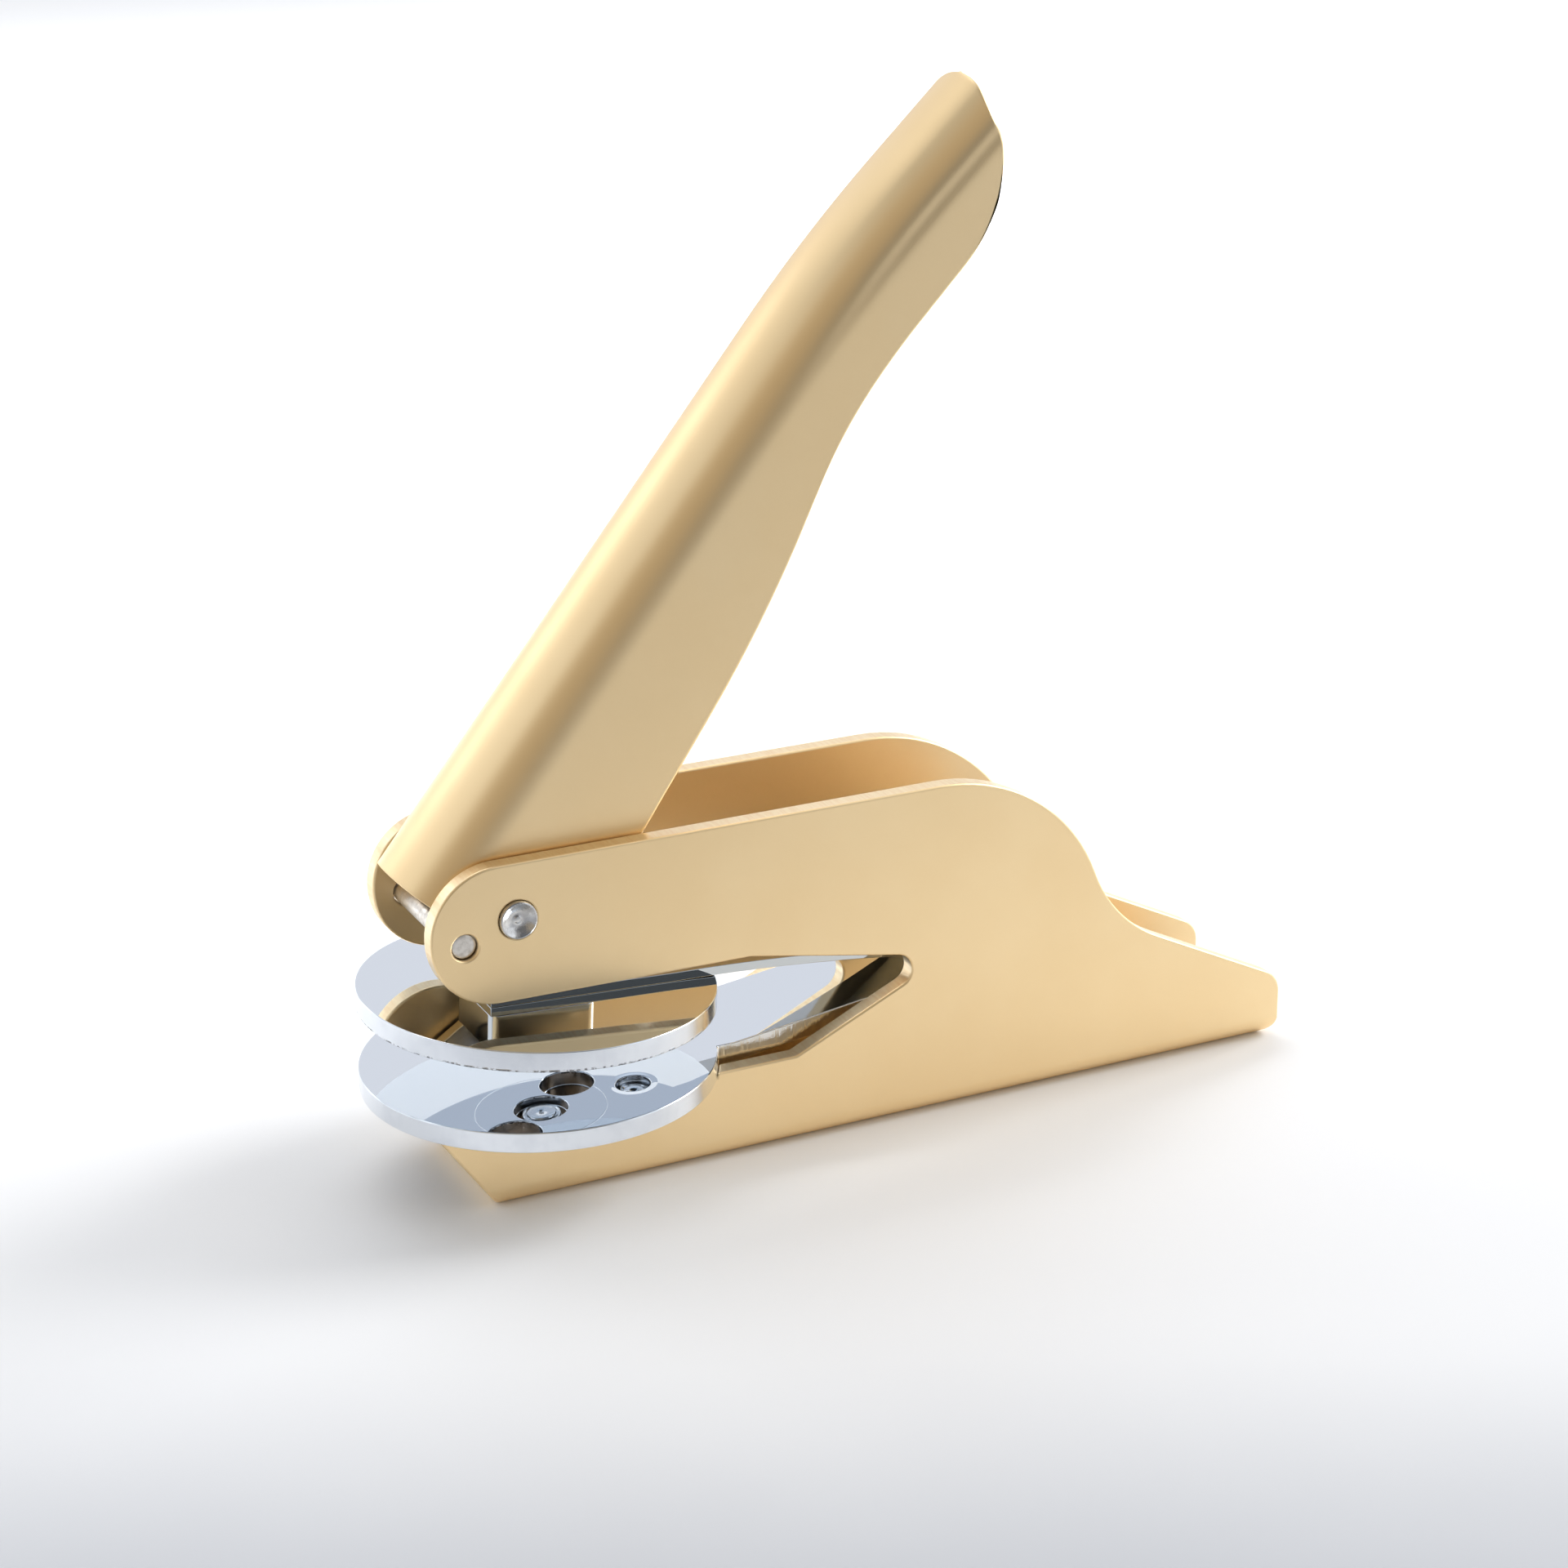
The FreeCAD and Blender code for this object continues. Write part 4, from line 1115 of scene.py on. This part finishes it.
@dataclass
class Pins:
    """The turned pieces: rivets and pins."""

    half_width: float = 11.5
    pivot_radius: float = 2.4
    stop_radius: float = 1.55
    stop_recess: float = 0.6
    head_pin_radius: float = 2.475
    head_pin_top: float = 7.3
    head_rivet_radius: float = 2.25
    head_rivet_recess: float = 0.9
    pivot_facets: int = 72
    head_facets: int = 64
    stop_facets: int = 56

    def across(self, work: bmesh.types.BMesh, middle: Vector) -> None:
        """Lays a turned piece from side to side, its middle at that place."""
        matrix = Matrix.Translation(middle) @ Matrix.Rotation(math.radians(-90), 4, "X")
        bmesh.ops.transform(work, matrix=matrix, verts=work.verts)

    def build(self) -> None:
        """Makes every pin and rivet."""
        self.pivot()
        self.stop()
        self.head_pin()
        self.head_rivet()

    def pivot(self) -> None:
        """The lever's rivet, its ends dished by the riveting punch."""
        radius, wall = self.pivot_radius, self.half_width
        head = [
            (0.0, -0.02), (0.26, 0.0), (0.42, -0.06), (0.6, -0.17), (0.9, -0.15), (1.3, -0.04),
            (1.7, 0.16), (2.0, 0.36), (2.18, 0.44), (2.32, 0.38), (radius, 0.22), (radius, -0.4),
        ]
        outline = [(r, wall + h) for r, h in head] + [(r, -(wall + h)) for r, h in reversed(head)]
        work = turned(outline, self.pivot_facets)
        self.across(work, Vector(((PIVOT[0] + SHIFT) * MM, 0.0, PIVOT[1] * MM)))
        make_piece(work, "pivot_rivet_dished", Body.BASE, [STEEL], ["pivot_rivet"])

    def on_head(self, work: bmesh.types.BMesh, behind: float) -> None:
        """Puts a turned piece on the tilted die head.

        Args:
            work: the piece, with its axis on Z.
            behind: how far behind the head's middle it goes, in mm.
        """
        foot = Vector(HEAD_FOOT) + Vector(HEAD_BACK) * (behind * MM)
        matrix = Matrix.Translation(foot) @ Matrix.Rotation(HEAD_TILT, 4, "Y")
        bmesh.ops.transform(work, matrix=matrix, verts=work.verts)

    def head_pin(self) -> None:
        """The pin in the middle of the head, its end grooved and centre-drilled."""
        radius, top = self.head_pin_radius, self.head_pin_top
        outline = [
            (0.0, 0.92), (0.12, 0.86), (0.27, 0.54), (0.33, 0.5), (1.72, 0.5), (1.82, 0.53), (1.92, 0.7), (2.03, 0.72),
            (2.12, 0.56), (2.2, 0.52), (2.34, 0.56), (2.43, 0.66), (radius, 0.82), (radius, top), (0.0, top),
        ]
        work = turned(outline, self.head_facets)
        self.on_head(work, 0.0)
        make_piece(work, "head_pin_grooved", Body.HEAD, [BRIGHT_PIN], ["upper_centre_pin"])

    def head_rivet(self) -> None:
        """The rivet behind it, its end sunk in the disc and dished by the punch."""
        radius, recess = self.head_rivet_radius, self.head_rivet_recess
        end = [(0.0, 0.42), (0.3, 0.40), (0.62, 0.20), (0.8, 0.12), (1.3, 0.06), (1.42, 0.2), (1.6, 0.22), (1.72, 0.04)]
        outline = [(r, recess + h) for r, h in end]
        outline += [(2.1, recess), (2.2, recess + 0.08), (radius, recess + 0.25)]
        outline += [(radius, 3.8), (3.0, 3.8), (2.75, 4.15), (2.3, 4.5), (1.8, 4.75), (1.5, 4.8), (0.0, 4.8)]
        work = turned(outline, self.head_facets)
        self.on_head(work, RIVET_BEHIND)
        make_piece(work, "head_rivet_dished", Body.HEAD, [BRIGHT_PIN], ["upper_disc_rivet"])

    def stop(self) -> None:
        """The pin that the lever rests on, its ends just inside the walls."""
        radius, end = self.stop_radius, self.half_width - self.stop_recess
        half = [(0.0, end - 0.03), (0.9, end), (radius - 0.2, end), (radius - 0.06, end - 0.06), (radius, end - 0.22)]
        outline = half + [(r, -h) for r, h in reversed(half)]
        work = turned(outline, self.stop_facets)
        low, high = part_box("stop_pin")
        self.across(work, (low + high) / 2)
        make_piece(work, "stop_pin_ground", Body.BASE, [PIN_STEEL], ["stop_pin"])


# ---- plates and head


@dataclass
class Plates:
    """The two bright plates, the spring leaf and the block on it."""

    rounding: float = 0.16
    segments: int = 3
    leaf_rounding: float = 0.1
    leaf_segments: int = 2
    block_rounding: float = 0.2
    neck_start: float = 21.2
    standing: float = 0.5
    facing_down: float = -0.9

    def build(self) -> None:
        """Makes the plates."""
        self.upper_disc()
        self.lower_plate()
        self.leaf()
        self.block()

    def upper_disc(self) -> None:
        """The disc on the head: mirror faces and a sheared edge with a burr below."""
        work = softened("upper_die_disc", self.rounding, self.segments)
        work.normal_update()
        paint(work, 1, lambda middle, normal: abs(normal.z) < self.standing)
        paint(work, 2, lambda middle, normal: normal.z < self.facing_down)
        finishes = [MIRROR, BURRED_EDGE, DIE_FACE]
        make_piece(work, "upper_disc_bright", Body.HEAD, finishes, ["upper_die_disc"])

    def lower_plate(self) -> None:
        """The fixed plate: a mirror face, a sheared rim and the neck's scored sides."""
        work = softened("lower_die_plate", self.rounding, self.segments)
        work.normal_update()
        neck = (self.neck_start + SHIFT) * MM
        paint(work, 1, lambda middle, normal: abs(normal.z) < self.standing)
        paint(work, 2, lambda middle, normal: abs(normal.z) < self.standing and middle.x > neck)
        finishes = [MIRROR, PLATE_EDGE, SHEARED]
        make_piece(work, "lower_plate_bright", Body.BASE, finishes, ["lower_die_plate"])

    def leaf(self) -> None:
        """The spring leaf."""
        work = softened("spring_leaf", self.leaf_rounding, self.leaf_segments)
        work.normal_update()
        paint(work, 1, lambda middle, normal: abs(normal.z) < self.standing)
        make_piece(work, "spring_leaf_strip", Body.HEAD, [SPRING, SPRING_EDGE], ["spring_leaf"])

    def block(self) -> None:
        """The pressure block."""
        work = softened("pressure_block", self.block_rounding, self.segments)
        make_piece(work, "pressure_block_ground", Body.HEAD, [BLOCK], ["pressure_block"])


# ---- studio


@dataclass(frozen=True)
class Patch:
    """A round patch of the studio's air, fading out between two angles from its middle."""

    middle: Triple
    inner: float
    outer: float
    colour: Colour


@dataclass(frozen=True)
class Softbox:
    """A rectangle of light that faces a place; power in watts, spread in degrees."""

    name: str
    place: Triple
    sides: Pair
    power: float
    colour: Colour = (1.0, 1.0, 1.0)
    aim: Triple = (0.0, 0.0, 0.05)
    spread: float = 180.0

    def build(self) -> None:
        """Hangs the softbox."""
        light = bpy.data.lights.new(self.name, "AREA")
        light.shape = "RECTANGLE"
        light.size, light.size_y = self.sides
        light.energy = self.power
        light.color = self.colour
        light.spread = math.radians(self.spread)
        lamp = bpy.data.objects.new(self.name, light)
        lamp.location = self.place
        lamp.rotation_mode = "QUATERNION"
        lamp.rotation_quaternion = (Vector(self.place) - Vector(self.aim)).to_track_quat("Z", "Y")
        bpy.context.scene.collection.objects.link(lamp)


@dataclass
class Studio:
    """Table, lights and camera."""

    lens: float = 75.19
    sensor: float = 36.0
    azimuth: float = -25.79
    elevation: float = 19.90
    roll: float = -0.698
    camera_place: Triple = (-0.175541, -0.351089, 0.185550)
    air: Colour = (1.10, 1.15, 1.23)
    patches: tuple[Patch, ...] = (
        Patch((0.0, 0.3, 1.0), 25.0, 62.0, (0.37, 0.37, 0.37)),
        Patch((0.35, 0.9, 0.3), 15.0, 55.0, (0.85, 0.865, 0.92)),
        Patch((-0.35, -0.85, 0.45), 26.0, 64.0, (0.45, 0.388, 0.304)),
        Patch((0.12, -0.9, 0.38), 8.0, 30.0, (0.17, 0.18, 0.20)),
        Patch((0.366, -0.85, 0.375), 5.0, 13.0, (0.10, 0.105, 0.11)),
    )
    softboxes: tuple[Softbox, ...] = (
        Softbox("key_softbox", (0.9, 0.0, 0.6), (0.5, 0.5), 3.1, (1.0, 0.99, 0.98), (0.10, 0.05, 0.0), 120.0),
        Softbox("crown_softbox", (-0.47, 0.93, 0.46), (0.3, 0.3), 0.46),
        Softbox("table_softbox", (0.2, 0.55, 0.60), (2.4, 0.6), 12.0, aim=(0.2, 0.60, 0.0), spread=90.0),
        Softbox("back_softbox", (-0.2, 2.2, 2.0), (5.0, 1.6), 15.0, aim=(-0.2, 2.2, 0.0), spread=110.0),
    )
    table_half: float = 4.0
    clip: Pair = (0.01, 20.0)

    def build(self) -> None:
        """Sets up the studio."""
        self.table()
        self.world()
        for softbox in self.softboxes:
            softbox.build()
        self.camera()

    def table(self) -> None:
        """The table top."""
        work = bmesh.new()
        bmesh.ops.create_grid(work, x_segments=1, y_segments=1, size=self.table_half)
        mesh = bpy.data.meshes.new("table_top")
        work.to_mesh(mesh)
        work.free()
        mesh.materials.append(PALETTE.of(TABLE))
        table = bpy.data.objects.new("table_top", mesh)
        bpy.context.scene.collection.objects.link(table)

    def world(self) -> None:
        """The studio's air: pale behind and above, and darker and warmer on the side of the open room."""
        world = bpy.data.worlds.new("studio_air")
        bpy.context.scene.world = world
        world.use_nodes = True
        nodes = Nodes(world.node_tree)
        way = nodes.node("ShaderNodeTexCoord", {}, {}, "Generated")
        colour: object = opaque(self.air)
        for patch in self.patches:
            middle = Vector(patch.middle).normalized()
            facing = nodes.node("ShaderNodeVectorMath", {"operation": "DOT_PRODUCT"}, {0: way, 1: middle}, "Value")
            low, high = (math.cos(math.radians(angle)) for angle in (patch.outer, patch.inner))
            colour = nodes.blend(nodes.limited(facing, low, high), colour, opaque(patch.colour))
        background = nodes.node("ShaderNodeBackground", {}, {"Color": colour, "Strength": 1.0})
        nodes.node("ShaderNodeOutputWorld", {}, {"Surface": background})

    def camera(self) -> None:
        """The camera."""
        azimuth, elevation, roll = (math.radians(v) for v in (self.azimuth, self.elevation, self.roll))
        forward = Vector(
            (-math.sin(azimuth) * math.cos(elevation), math.cos(azimuth) * math.cos(elevation), -math.sin(elevation))
        )
        right = forward.cross(Vector((0.0, 0.0, 1.0))).normalized()
        up = right.cross(forward)
        right, up = right * math.cos(roll) + up * math.sin(roll), up * math.cos(roll) - right * math.sin(roll)
        data = bpy.data.cameras.new("camera")
        data.lens = self.lens
        data.sensor_width = self.sensor
        data.clip_start, data.clip_end = self.clip
        camera = bpy.data.objects.new("camera", data)
        turn = Matrix((right, up, -forward)).transposed().to_4x4()
        camera.matrix_world = Matrix.Translation(self.camera_place) @ turn
        bpy.context.scene.collection.objects.link(camera)
        bpy.context.scene.camera = camera


def main() -> None:
    """Builds the embosser and the studio."""
    logging.basicConfig(level=logging.INFO, format="%(name)s %(message)s", stream=sys.stdout)
    scene = bpy.context.scene
    scene.view_settings.view_transform = "Standard"
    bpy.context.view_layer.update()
    for builder in (FoldedFrame(), Lever(), Pins(), Plates()):
        builder.build()
    for node in ("lower_centre_pin", "lower_plate_rivet", "clamp_rivets", "cam_pin"):
        dress(node, STEEL)
    for node in ("handle_cam", "clamp_block", "support_block", "base_screws"):
        dress(node, PLAIN)
    Studio().build()


if __name__ == "__main__":
    main()
